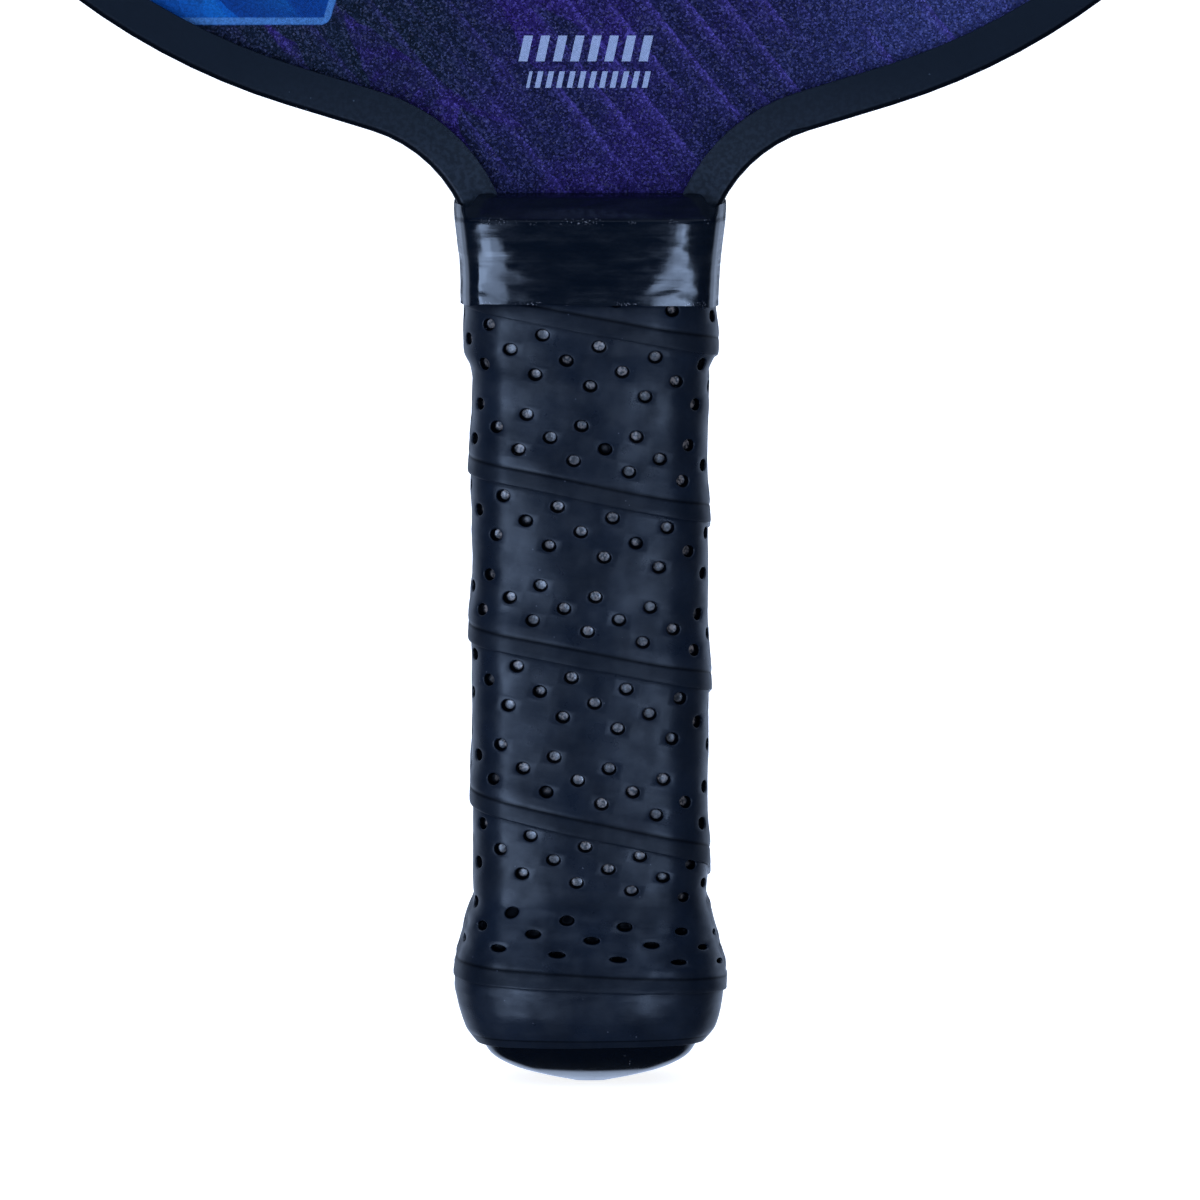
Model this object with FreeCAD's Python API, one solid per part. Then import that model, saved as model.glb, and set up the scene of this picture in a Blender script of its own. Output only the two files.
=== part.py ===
"""Pickleball paddle: a sandwich panel with a U-channel edge guard and a built-up, wrapped handle.

Frame: +X across the face, +Y from the front face to the back face, +Z up the handle towards the head.
The origin is the lowest point of the butt cap, on the handle's axis. Units are millimetres.

The panel is a honeycomb core between two scrims, two bonding films and two face skins. It runs from the
head down through the handle as a tang. Two pallets bonded to the tang build up the grip's section, a
stapled butt cap closes the end, a strip grip winds up the handle, and a finishing tape binds its top.
"""
import FreeCAD, Part
import math
import os

# Overall size.
LENGTH = 400.0
WIDTH = 202.0

# Outline of the edge guard, as tangent arcs from the top centre down one side to the handle.
TOP_RADIUS = 260.0
TOP_CORNER_RADIUS = 62.0
SIDE_LENGTH = 122.5
SHOULDER_RADIUS = 72.6
SHOULDER_TURN = 53.0
HIP_RADIUS = 96.0
HIP_TURN = 20.0
THROAT_RADIUS = 20.0
TAIL_HALF_WIDTH = 16.4

# Layers of the panel, from its middle plane outwards.
CORE_HALF = 5.5
SCRIM = 0.15
FILM = 0.10
SKIN = 0.75
CELL_ACROSS_FLATS = 8.0
CELL_WALL = 0.35
CORE_RIM = 0.6
SMALLEST_CELL_AREA = 5.0
RIM_POINTS_PER_EDGE = 12

# Edge guard and the adhesive tape inside its channel.
GUARD_WALL = 1.4
GUARD_TAPE = 0.1
GUARD_FLANGE = 5.6
GUARD_FLANGE_THICKNESS = 1.2
GUARD_EDGE_RADIUS = 1.0
GUARD_FLANGE_END_Z = 124.2
GUARD_TAIL_END_Z = 102.0
GUARD_TAIL_SETBACK = 0.5

# Handle: pallets bonded to both sides of the tang.
HANDLE_HALF_DEPTH = 12.4
HANDLE_CORNER = 5.6
CORNER_TO_DEPTH_LIMIT = 0.6
FACE_CROWN_RADIUS = 46.0
PALLET_TAPE = 0.15
PALLET_TAPE_MARGIN = 1.5
PALLET_TOP_Z = 124.0
PALLET_CHAMFER_Z = 122.0
PALLET_TOP_OVER_GUARD = 0.5
TANG_BOTTOM_Z = 8.0

# Butt cap: half width at heights from its end to the top of its skirt.
CAP_PROFILE = [(0.0, 2.2), (1.0, 6.2), (2.4, 10.6), (4.2, 13.8), (6.0, 15.0), (7.0, 15.3), (9.0, 16.1),
               (11.0, 16.8), (14.5, 17.5), (17.3, 17.3), (20.5, 16.6), (25.0, 15.7)]
CAP_HOLLOW = [(2.2, 7.2), (4.4, 11.6), (TANG_BOTTOM_Z, 13.2)]
CAP_CLEARANCE = 0.05
DEPTH_LESS_THAN_WIDTH = 2.5

# Grip: a strip wound as a left-hand helix. Its thickness covers the strip and its felt back.
GRIP_THICKNESS = 1.6
GRIP_PITCH = 23.6
GRIP_SEAM_GAP = 0.2
GRIP_SEAM_FRONT_Z = 35.9
GRIP_BOTTOM_Z = 7.0
GRIP_TOP_Z = 121.6
GRIP_SKIRT_RAMP = 1.5
ADHESIVE_THICKNESS = 0.12
ADHESIVE_STRIP_WIDTH = 12.0
ADHESIVE_CLEARANCE = 0.02
ADHESIVE_BOTTOM_Z = 26.6
ADHESIVE_TOP_Z = 101.3
TAIL_STEP_Z = 101.4
TAIL_COVER_Z = 103.6
TAIL_BULGE_START_Z = 115.0
TAIL_BULGE_MIDDLE_Z = 118.0

# Helical cutter that parts the grip sleeve into a strip. It runs past the sleeve on every side.
HELIX_INNER_RADIUS = 6.0
HELIX_OUTER_RADIUS = 30.0
HELIX_SPARE_TURNS = 3

# Finishing tape around the top of the grip.
FINISH_TAPE = 0.25
FINISH_BOTTOM_Z = 109.6
FINISH_SHOULDER_Z = 122.2
FINISH_TOP_Z = 126.2
FINISH_EDGE_OVER_TAILS = 0.1
FINISH_EDGE_OVER_GUARD = 0.6

# Staples through the skirt of the butt cap.
STAPLE_Z = 19.5
STAPLE_WIDTH = 9.0
STAPLE_WIRE = 0.9
STAPLE_THICKNESS = 0.55
STAPLE_LEG = 6.0
STAPLE_SINK = 0.05

# How far a cutting body runs past what it cuts, and the smallest length that counts as one.
OVERCUT = 1.0
TOLERANCE = 0.01

# Worked out from the dimensions above.
PANEL_INSET = GUARD_WALL + GUARD_TAPE
TANG_HALF_WIDTH = TAIL_HALF_WIDTH - PANEL_INSET
SCRIM_OUT = CORE_HALF + SCRIM
FILM_OUT = SCRIM_OUT + FILM
PANEL_HALF = FILM_OUT + SKIN
GUARD_HALF = PANEL_HALF + GUARD_FLANGE_THICKNESS
SKIRT_TOP_Z = CAP_PROFILE[-1][0]
GRIP_INNER = ADHESIVE_THICKNESS + 2 * ADHESIVE_CLEARANCE
FRONT, BACK = -1, 1
VECTOR = FreeCAD.Vector


# ---------------------------------------------------------------- outline of the head and tang

def outline_moves(inset):
    """Moves of the outline from the top centre, heading +X: (radius, turn in degrees) or (0, length)."""
    top_turn = math.degrees(math.asin((WIDTH / 2 - TOP_CORNER_RADIUS) / (TOP_RADIUS - TOP_CORNER_RADIUS)))
    slope = math.radians(SHOULDER_TURN + HIP_TURN)
    shoulder = math.radians(SHOULDER_TURN)
    x = WIDTH / 2 - SHOULDER_RADIUS * (1 - math.cos(shoulder))
    x -= HIP_RADIUS * (math.cos(shoulder) - math.cos(slope))
    x -= THROAT_RADIUS * (1 - math.cos(slope))
    neck_length = (x - TAIL_HALF_WIDTH) / math.sin(slope)
    return [
        (TOP_RADIUS - inset, top_turn),
        (TOP_CORNER_RADIUS - inset, 90.0 - top_turn),
        (0, SIDE_LENGTH),
        (SHOULDER_RADIUS - inset, SHOULDER_TURN),
        (HIP_RADIUS - inset, HIP_TURN),
        (0, neck_length),
        (-THROAT_RADIUS - inset, SHOULDER_TURN + HIP_TURN),
    ]


def outline_side(inset, bottom_z):
    """Points of the right-hand side: a list of (start, middle or None, end), each an (x, z) pair."""
    x, z, heading = 0.0, LENGTH - inset, 0.0
    pieces = []
    for radius, amount in outline_moves(inset):
        start = (x, z)
        if radius == 0:
            x += amount * math.cos(heading)
            z -= amount * math.sin(heading)
            pieces.append((start, None, (x, z)))
            continue
        centre = (x - radius * math.sin(heading), z - radius * math.cos(heading))
        turn = math.radians(math.copysign(amount, radius))
        stops = []
        for angle in (heading + turn / 2, heading + turn):
            stops.append((centre[0] + radius * math.sin(angle), centre[1] + radius * math.cos(angle)))
        pieces.append((start, stops[0], stops[1]))
        x, z = stops[1]
        heading += turn
    pieces.append(((x, z), None, (x, bottom_z)))
    return pieces


def outline_wire(inset, bottom_z):
    """Closed outline in the XZ plane, inset from the guard's outer edge, cut off level at bottom_z."""
    right = outline_side(inset, bottom_z)
    left = [((-c[0], c[1]), b and (-b[0], b[1]), (-a[0], a[1])) for a, b, c in reversed(right)]
    corner = right[-1][2]
    edges = []
    for start, middle, end in right + [(corner, None, (-corner[0], corner[1]))] + left:
        points = [VECTOR(p[0], 0, p[1]) for p in (start, middle, end) if p]
        curve = Part.Arc(*points) if middle else Part.LineSegment(*points)
        edges.append(curve.toShape())
    return Part.Wire(edges)


def outline_plate(inset, bottom_z, y_from, y_to):
    """Plate with the paddle's outline, between two depths."""
    face = Part.Face(outline_wire(inset, bottom_z))
    face.translate(VECTOR(0, y_from, 0))
    return face.extrude(VECTOR(0, y_to - y_from, 0))


def layer(inner, outer, side):
    """One layer of the panel on the front or back, from half depth inner to half depth outer."""
    low, high = sorted((side * inner, side * outer))
    return outline_plate(PANEL_INSET, TANG_BOTTOM_Z, low, high)


# ---------------------------------------------------------------- honeycomb core

def inside_polygon(x, z, polygon):
    """Whether a point lies in a polygon, by counting crossings."""
    inside = False
    for (x0, z0), (x1, z1) in zip(polygon, polygon[1:] + polygon[:1]):
        if (z0 > z) != (z1 > z) and x < x0 + (z - z0) * (x1 - x0) / (z1 - z0):
            inside = not inside
    return inside


def hexagon(x, z, radius):
    """Corner points of a cell with two sides parallel to Z."""
    angles = [math.radians(30 + 60 * k) for k in range(6)]
    return [(x + radius * math.cos(a), z + radius * math.sin(a)) for a in angles]


def cell_wires():
    """Open cells of the core. A cell that crosses the rim is cut off along it."""
    rim_wire = outline_wire(PANEL_INSET + CORE_RIM, TANG_BOTTOM_Z + CORE_RIM)
    rim_face = Part.Face(rim_wire)
    rim_polygon = [(p.x, p.z) for e in rim_wire.OrderedEdges for p in e.discretize(RIM_POINTS_PER_EDGE)[:-1]]
    radius = (CELL_ACROSS_FLATS - CELL_WALL) / math.sqrt(3)
    row_step = CELL_ACROSS_FLATS * math.sqrt(3) / 2
    columns = int(WIDTH / 2 / CELL_ACROSS_FLATS) + 1
    wires = []
    for row in range(int(LENGTH / row_step) + 1):
        shift = CELL_ACROSS_FLATS / 2 if row % 2 else 0.0
        for column in range(-columns, columns + 1):
            corners = hexagon(column * CELL_ACROSS_FLATS + shift, row * row_step, radius)
            hits = sum(inside_polygon(x, z, rim_polygon) for x, z in corners)
            if hits == 0:
                continue
            points = [VECTOR(x, 0, z) for x, z in corners]
            wire = Part.makePolygon(points + points[:1])
            if hits == len(corners):
                wires.append(wire)
                continue
            for part in Part.Face(wire).common(rim_face).Faces:
                if part.Area > SMALLEST_CELL_AREA:
                    wires.append(part.OuterWire)
    return wires


def honeycomb_core():
    """Core with open hexagonal cells through its thickness."""
    sheet = Part.Face([outline_wire(PANEL_INSET, TANG_BOTTOM_Z)] + cell_wires())
    sheet.translate(VECTOR(0, -CORE_HALF, 0))
    return sheet.extrude(VECTOR(0, 2 * CORE_HALF, 0))


# ---------------------------------------------------------------- sections of the handle

def section(z, half_width, half_depth):
    """Closed section at height z: crowned front and back, straight sides, rounded corners."""
    grown = half_width - TANG_HALF_WIDTH
    shrink = min(1.0, half_width / TANG_HALF_WIDTH)
    crown = FACE_CROWN_RADIUS * shrink + max(0.0, grown)
    corner = min(HANDLE_CORNER * shrink + max(0.0, grown), CORNER_TO_DEPTH_LIMIT * half_depth)
    crown_y = crown - half_depth
    corner_x = half_width - corner
    corner_y = crown_y - math.sqrt((crown - corner) ** 2 - corner_x ** 2)
    lean = math.atan2(corner_y - crown_y, corner_x)
    end = (crown * math.cos(lean), crown_y + crown * math.sin(lean))
    middle = (corner_x + corner * math.cos(lean / 2), corner_y + corner * math.sin(lean / 2))
    side = (half_width, corner_y)

    def arc(*points):
        return Part.Arc(*[VECTOR(x, y, z) for x, y in points]).toShape()

    def turned(point, sx, sy):
        return (sx * point[0], sy * point[1])

    right = Part.LineSegment(VECTOR(half_width, corner_y, z), VECTOR(half_width, -corner_y, z))
    left = Part.LineSegment(VECTOR(-half_width, -corner_y, z), VECTOR(-half_width, corner_y, z))
    return Part.Wire([
        arc(turned(end, -1, 1), (0, -half_depth), end),
        arc(end, middle, side),
        right.toShape(),
        arc(turned(side, 1, -1), turned(middle, 1, -1), turned(end, 1, -1)),
        arc(turned(end, 1, -1), (0, half_depth), turned(end, -1, -1)),
        arc(turned(end, -1, -1), turned(middle, -1, -1), turned(side, -1, -1)),
        left.toShape(),
        arc(turned(side, -1, 1), turned(middle, -1, 1), turned(end, -1, 1)),
    ])


def section_depth(half_width):
    """Half depth of a section on the butt cap, from its half width."""
    ratio = HANDLE_HALF_DEPTH / TANG_HALF_WIDTH
    return max(ratio * half_width, half_width - DEPTH_LESS_THAN_WIDTH)


def loft(profile):
    """Solid through sections given as (z, half width, half depth)."""
    return Part.makeLoft([section(*row) for row in profile], True, True)


def prism(half_width, half_depth, bottom_z, top_z):
    """Straight solid with the handle's section."""
    return loft([(bottom_z, half_width, half_depth), (top_z, half_width, half_depth)])


def box(x_half, y_from, y_to, z_from, z_to):
    """Box centred on X between two depths and two heights."""
    low, high = sorted((y_from, y_to))
    return Part.makeBox(2 * x_half, high - low, z_to - z_from, VECTOR(-x_half, low, z_from))


# ---------------------------------------------------------------- edge guard

def guard_channel():
    """Cut-outs of the guard: its channel over the panel's rim and the opening that bares the face."""
    channel = outline_plate(GUARD_WALL, 0, -PANEL_HALF, PANEL_HALF)
    opening = outline_plate(GUARD_FLANGE, 0, -GUARD_HALF - OVERCUT, GUARD_HALF + OVERCUT)
    return channel.fuse(opening)


def edge_guard():
    """U-channel around the head. Below the flanges only its wall runs on, as two tails under the grip."""
    body = outline_plate(0, GUARD_TAIL_END_Z, -GUARD_HALF, GUARD_HALF)
    rim = [e for e in body.Edges if rim_edge(e)]
    body = body.makeFillet(GUARD_EDGE_RADIUS, rim)
    body = body.cut(guard_channel())
    tail_half = PANEL_HALF - GUARD_TAIL_SETBACK
    for side in (FRONT, BACK):
        body = body.cut(box(WIDTH, side * tail_half, side * (GUARD_HALF + OVERCUT), 0, GUARD_FLANGE_END_Z))
    return body


def rim_edge(edge):
    """Whether an edge runs around the plate's front or back, not across its thickness or its end."""
    bounds = edge.BoundBox
    return bounds.YLength < TOLERANCE and bounds.ZMax > GUARD_TAIL_END_Z + TOLERANCE


def edge_guard_tape():
    """Adhesive tape on the rim of the panel, inside the channel."""
    outer = outline_plate(GUARD_WALL, GUARD_TAIL_END_Z, -FILM_OUT, FILM_OUT)
    return outer.cut(outline_plate(PANEL_INSET, 0, -PANEL_HALF, PANEL_HALF))


# ---------------------------------------------------------------- handle

def pallet(side):
    """Block that builds up one side of the handle, with a sloped top."""
    inner = PANEL_HALF + PALLET_TAPE
    outer = HANDLE_HALF_DEPTH + OVERCUT
    top = GUARD_HALF + PALLET_TOP_OVER_GUARD
    profile = [(inner, TANG_BOTTOM_Z), (inner, PALLET_TOP_Z), (top, PALLET_TOP_Z),
               (HANDLE_HALF_DEPTH, PALLET_CHAMFER_Z), (outer, PALLET_CHAMFER_Z), (outer, TANG_BOTTOM_Z)]
    points = [VECTOR(-WIDTH, side * y, z) for y, z in profile]
    block = Part.Face(Part.makePolygon(points + points[:1])).extrude(VECTOR(2 * WIDTH, 0, 0))
    return prism(TANG_HALF_WIDTH, HANDLE_HALF_DEPTH, TANG_BOTTOM_Z, PALLET_TOP_Z).common(block)


def pallet_tape(side):
    """Double-sided sheet between the face skin and a pallet."""
    margin = PALLET_TAPE_MARGIN
    return box(TANG_HALF_WIDTH - margin, side * PANEL_HALF, side * (PANEL_HALF + PALLET_TAPE),
               TANG_BOTTOM_Z + margin, PALLET_TOP_Z - margin)


def staple(side):
    """Staple with its crown just below the skirt's surface and two legs into the pallet."""
    surface = section_depth(cap_half_width(STAPLE_Z)) - STAPLE_SINK
    crown_inner = surface - STAPLE_THICKNESS
    low, high = STAPLE_Z - STAPLE_WIRE / 2, STAPLE_Z + STAPLE_WIRE / 2
    body = box(STAPLE_WIDTH / 2, side * crown_inner, side * surface, low, high)
    leg = box(STAPLE_THICKNESS / 2, side * (surface - STAPLE_LEG), side * crown_inner, low, high)
    for end in (-1, 1):
        moved = leg.translated(VECTOR(end * (STAPLE_WIDTH - STAPLE_THICKNESS) / 2, 0, 0))
        body = body.fuse(moved)
    return body.removeSplitter()


def cap_half_width(z):
    """Half width of the butt cap at height z."""
    for (z0, w0), (z1, w1) in zip(CAP_PROFILE, CAP_PROFILE[1:]):
        if z0 <= z <= z1:
            return w0 + (w1 - w0) * (z - z0) / (z1 - z0)
    raise ValueError("height outside the butt cap")


def butt_cap():
    """Flared cup with a shallow domed end, hollow below the ledge that the handle's end sits on."""
    outer = loft([(z, w, section_depth(w)) for z, w in CAP_PROFILE])
    socket = prism(TANG_HALF_WIDTH + CAP_CLEARANCE, HANDLE_HALF_DEPTH + CAP_CLEARANCE,
                   TANG_BOTTOM_Z, SKIRT_TOP_Z + OVERCUT)
    hollow = loft([(z, w, section_depth(w)) for z, w in CAP_HOLLOW])
    return outer.cut(socket.fuse(hollow))


# ---------------------------------------------------------------- grip and finishing tape

def grip_profile(offset):
    """Sections of the grip from its bottom to its top, offset outwards from what it is wound on."""
    rows = [(z, w + CAP_CLEARANCE, section_depth(w) + CAP_CLEARANCE) for z, w in CAP_PROFILE
            if z >= GRIP_BOTTOM_Z]
    rows += [(SKIRT_TOP_Z + GRIP_SKIRT_RAMP, TANG_HALF_WIDTH, HANDLE_HALF_DEPTH),
             (TAIL_STEP_Z, TANG_HALF_WIDTH, HANDLE_HALF_DEPTH)]
    for z in (TAIL_COVER_Z, TAIL_BULGE_START_Z, TAIL_BULGE_MIDDLE_Z, GRIP_TOP_Z):
        rows.append((z, tail_half_width(z), HANDLE_HALF_DEPTH))
    return [(z, w + offset, d + offset) for z, w, d in rows]


def tail_half_width(z):
    """Half width over the guard's tails at height z, below the flanges."""
    corner = outline_side(0, 0)[-1][0]
    rise = max(0.0, z - corner[1])
    bulge = THROAT_RADIUS - math.sqrt(THROAT_RADIUS ** 2 - rise ** 2)
    return TAIL_HALF_WIDTH + bulge + CAP_CLEARANCE


def helical_cutter(height):
    """Left-hand helical slab of the given height, centred on the grip's seam."""
    inner, outer = HELIX_INNER_RADIUS, HELIX_OUTER_RADIUS
    turns = math.ceil((GRIP_TOP_Z - GRIP_SEAM_FRONT_Z) / GRIP_PITCH) + HELIX_SPARE_TURNS
    path = Part.makeHelix(GRIP_PITCH, turns * GRIP_PITCH, inner)
    corners = [VECTOR(inner, 0, -height / 2), VECTOR(outer, 0, -height / 2),
               VECTOR(outer, 0, height / 2), VECTOR(inner, 0, height / 2)]
    slab = Part.Wire(path).makePipeShell([Part.makePolygon(corners + corners[:1])], True, True)
    slab = slab.mirror(VECTOR(0, 0, 0), VECTOR(0, 1, 0))
    slab.rotate(VECTOR(0, 0, 0), VECTOR(0, 0, 1), -90)
    slab.translate(VECTOR(0, 0, GRIP_SEAM_FRONT_Z - HELIX_SPARE_TURNS * GRIP_PITCH))
    return slab


def grip_wrap():
    """Grip strip, wound edge to edge, which leaves tapered ends at the butt cap and at the top."""
    sleeve = loft(grip_profile(GRIP_INNER + GRIP_THICKNESS)).cut(loft(grip_profile(GRIP_INNER)))
    return sleeve.cut(helical_cutter(GRIP_SEAM_GAP))


def grip_adhesive_strip():
    """Adhesive strip on the back of the grip, along the middle of the strip."""
    outer = ADHESIVE_CLEARANCE + ADHESIVE_THICKNESS
    inner = ADHESIVE_CLEARANCE
    sleeve = prism(TANG_HALF_WIDTH + outer, HANDLE_HALF_DEPTH + outer, ADHESIVE_BOTTOM_Z, ADHESIVE_TOP_Z)
    bore = prism(TANG_HALF_WIDTH + inner, HANDLE_HALF_DEPTH + inner,
                 ADHESIVE_BOTTOM_Z - OVERCUT, ADHESIVE_TOP_Z + OVERCUT)
    return sleeve.cut(bore).cut(helical_cutter(GRIP_PITCH - ADHESIVE_STRIP_WIDTH))


def finishing_tape():
    """Tape around the top of the grip. Its upper edge closes in on the guard and the face."""
    under = GRIP_INNER + GRIP_THICKNESS + CAP_CLEARANCE
    rows = [(z, tail_half_width(z) + under, HANDLE_HALF_DEPTH + under)
            for z in (FINISH_BOTTOM_Z, TAIL_BULGE_MIDDLE_Z, FINISH_SHOULDER_Z)]
    rows.append((FINISH_TOP_Z, tail_half_width(FINISH_TOP_Z) + FINISH_EDGE_OVER_TAILS,
                 GUARD_HALF + FINISH_EDGE_OVER_GUARD))
    outer = loft([(z, w + FINISH_TAPE, d + FINISH_TAPE) for z, w, d in rows])
    return outer.cut(loft(rows))


# ---------------------------------------------------------------- assembly

def assembly():
    """Every piece of the paddle by name."""
    parts = {
        "edge_guard": edge_guard(),
        "edge_guard_tape": edge_guard_tape(),
        "grip_wrap": grip_wrap(),
        "grip_adhesive_strip": grip_adhesive_strip(),
        "finishing_tape": finishing_tape(),
        "honeycomb_core": honeycomb_core(),
    }
    cap = butt_cap()
    staples = []
    for side, name in ((FRONT, "front"), (BACK, "back")):
        one = staple(side)
        staples.append(one)
        cap = cap.cut(one)
        parts[name + "_pallet"] = pallet(side).cut(one)
        parts[name + "_pallet_tape"] = pallet_tape(side)
        parts[name + "_scrim"] = layer(CORE_HALF, SCRIM_OUT, side)
        parts[name + "_bonding_film"] = layer(SCRIM_OUT, FILM_OUT, side)
        parts[name + "_face_skin"] = layer(FILM_OUT, PANEL_HALF, side)
    parts["butt_cap"] = cap
    parts["butt_cap_staples"] = Part.makeCompound(staples)
    return parts


os.makedirs("parts", exist_ok=True)
for node, shape in assembly().items():
    shape.exportStep(os.path.join("parts", node + ".step"))
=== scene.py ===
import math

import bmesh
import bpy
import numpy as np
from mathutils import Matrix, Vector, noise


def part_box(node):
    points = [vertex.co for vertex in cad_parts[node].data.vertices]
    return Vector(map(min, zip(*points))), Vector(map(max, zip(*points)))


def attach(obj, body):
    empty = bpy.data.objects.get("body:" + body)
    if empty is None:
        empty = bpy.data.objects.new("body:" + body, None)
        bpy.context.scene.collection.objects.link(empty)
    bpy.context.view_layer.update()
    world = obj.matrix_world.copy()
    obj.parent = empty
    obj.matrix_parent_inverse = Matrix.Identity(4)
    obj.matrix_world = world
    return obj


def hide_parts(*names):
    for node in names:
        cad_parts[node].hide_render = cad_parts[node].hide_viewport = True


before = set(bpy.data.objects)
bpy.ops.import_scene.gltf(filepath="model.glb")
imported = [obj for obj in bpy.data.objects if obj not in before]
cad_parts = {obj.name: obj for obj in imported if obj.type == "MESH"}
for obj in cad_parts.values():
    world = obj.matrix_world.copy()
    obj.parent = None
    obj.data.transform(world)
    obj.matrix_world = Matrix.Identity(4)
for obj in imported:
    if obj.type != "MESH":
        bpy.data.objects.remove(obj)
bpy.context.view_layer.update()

# Looks of the pickleball paddle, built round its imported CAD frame.
#
# The wound grip, the finishing tape and the butt cap are modelled here as meshes. The panel, the edge guard
# and the parts inside keep their CAD shape and get procedural materials. Lengths are in millimetres until a
# mesh is made, and the frame is the CAD's: +X across the face, +Y to the back, +Z up the handle.

MM = 0.001

# Winding of the grip: a left-hand helix whose lower edge is the seam that shows.
PITCH = 23.6
SEAM_FRONT_Z = 35.9
STRIP_WIDTH = 26.7
STRIP_THICKNESS = 1.6
# Turns are counted from the middle of the front. The strip starts before the butt's level lap, climbs on the
# turn below it at the covered turn, and has pits from a later turn on. A spare piece is cut off at the top.
START_TURN = -2.62
COVERED_TURN = -1.7
CLIMB_TURNS = 0.12
PITS_START_TURN = -1.5
SPARE_TURN = 0.08
SEAM_LAST_TURN = 6.0
LEVEL_EDGE_Z = 6.3
# Height of the seam by turn over the flared butt: level, up the back, and nearly level again in front.
BUTT_SEAM = ((-4.0, LEVEL_EDGE_Z), (-1.62, LEVEL_EDGE_Z), (-1.25, 13.6), (-1.0, 14.5), (-0.76, 16.2),
             (-0.5, 23.3), (-0.25, 30.0), (0.0, SEAM_FRONT_Z))
# The seam's sway over every turn of the straight handle, and its slow wander along the strip.
SEAM_DOUBLE_SWAY = 0.75
SEAM_SINGLE_SWAY = -1.6
SEAM_LIFT = 0.3
WANDER_LENGTH = 19.0
WANDER_HEIGHT = 0.28

# Perforations of the strip: their rows across it, and their size.
PIT_PITCH = 7.95
PIT_ROWS = (-8.15, -5.65, -3.15, 2.55, 5.35, 8.15)
PIT_ROW_SHIFTS = (0, 1, 0, 0, 1, 0)
PIT_ROW_WIDTH = 2.5
PIT_RADIUS_ALONG = 1.03
PIT_RADIUS_ACROSS = 0.88
PIT_DEPTH = 1.0
PIT_LEAN = 0.13
PIT_PHASE = 2.5
# Over the flare of the butt the strip's tension draws the pits out, and their floors are painted dark as
# shade.
PULLED_Z = (19.0, 27.0)
PULLED_LONGER, PULLED_NARROWER, PULLED_DEEPER = 0.10, 0.45, 0.2
DARK_FLOOR_Z = (22.5, 28.0)
DARK_FLOOR = 0.5
FLOOR_VARIETY = 0.17

# How finely the strip is divided: along a half pit pitch, and across a row of pits.
CELL_STEPS_ALONG = 8
CELL_STEPS_ACROSS = 6
PERIMETER = 2 * (CELL_STEPS_ALONG + CELL_STEPS_ACROSS)
# Mesh rows from the lower edge over the border, the width of the rows between pits, and rows from the last
# pits to the upper edge.
BORDER_ROWS = (0.0, 0.1, 0.3, 0.8, 1.4, 2.0, 2.2, 2.35, 2.5, 2.75, 3.15)
PLAIN_ROW_WIDTH = 1.3
LAST_ROW_SHARES = (0.15, 0.35, 0.6, 0.8, 1.0)
# The underside keeps these of the rows near its lower edge, and then one in six.
UNDERSIDE_ROWS = (0, 4, 6, 10, 14)
UNDERSIDE_STEP = 6
# Distances from the lower edge: where the look of the border ends, and the middle and reach of its crease,
# along which shade is painted.
BORDER_END = (2.25, 2.6)
CREASE_PLACE = 2.38
CREASE_REACH = 0.22


# ---------------------------------------------------------------- sizes taken from the frame

def half_sizes(node, heights):
    """Half width and half depth of a CAD node at some heights, in millimetres."""
    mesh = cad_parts[node].data
    points = np.array([v.co for v in mesh.vertices]) / MM
    ends = np.array([e.vertices[:] for e in mesh.edges])
    low, high = points[ends[:, 0]], points[ends[:, 1]]
    rise = high[:, 2] - low[:, 2]
    sizes = []
    for z in heights:
        crossing = (low[:, 2] - z) * (high[:, 2] - z) <= 0
        crossing &= np.abs(rise) > 1e-6
        share = ((z - low[crossing, 2]) / rise[crossing])[:, None]
        cut = low[crossing] + share * (high[crossing] - low[crossing])
        sizes.append(np.abs(cut[:, :2]).max(axis=0))
    return np.array(sizes)


def smoothed(values, window):
    """Moving average down the first axis, with the end values held."""
    padded = np.pad(values, ((window, window), (0, 0)), mode="edge")
    kernel = np.hanning(2 * window + 3)[1:-1]
    kernel /= kernel.sum()
    return np.stack([np.convolve(padded[:, c], kernel, "valid") for c in range(values.shape[1])], axis=1)


# The stretched tape has drawn its lower edge up this far from the bottom of its CAD solid.
TAPE_EDGE_RISE = 1.3
GRIP_LOW, GRIP_HIGH = (corner[2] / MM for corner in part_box("grip_wrap"))
TAPE_BOTTOM, TAPE_HIGH = (corner[2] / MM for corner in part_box("finishing_tape"))
TAPE_LOW = TAPE_BOTTOM + TAPE_EDGE_RISE
END_MARGIN = 0.05
PROFILE_Z = np.linspace(GRIP_LOW + END_MARGIN, GRIP_HIGH - END_MARGIN, 460)
PROFILE = smoothed(half_sizes("grip_wrap", PROFILE_Z), 4) - STRIP_THICKNESS
MID_HANDLE_Z = 65.0


def handle_size(z):
    """Half width and half depth of what the grip is wound on, at heights z."""
    return np.stack([np.interp(z, PROFILE_Z, PROFILE[:, c]) for c in range(2)], axis=-1)


# ---------------------------------------------------------------- sections

SAMPLES = 1440
HANDLE_CORNER = 5.6
CROWN_RADIUS = 46.0
CORNER_TO_DEPTH_LIMIT = 0.6
BASE_WIDTH, BASE_DEPTH = handle_size(MID_HANDLE_Z)


def evenly(loop, cover=None):
    """Points of a closed section, spaced so that they are even along it or along the cover on it."""
    closed = np.vstack([loop, loop[:1]])
    measured = closed if cover is None else np.vstack([cover, cover[:1]])
    steps = np.linalg.norm(np.diff(measured, axis=0), axis=1)
    distance = np.concatenate([[0.0], np.cumsum(steps)])
    wanted = np.linspace(0, distance[-1], SAMPLES, endpoint=False)
    return np.stack([np.interp(wanted, distance, closed[:, c]) for c in range(2)], axis=1)


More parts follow.
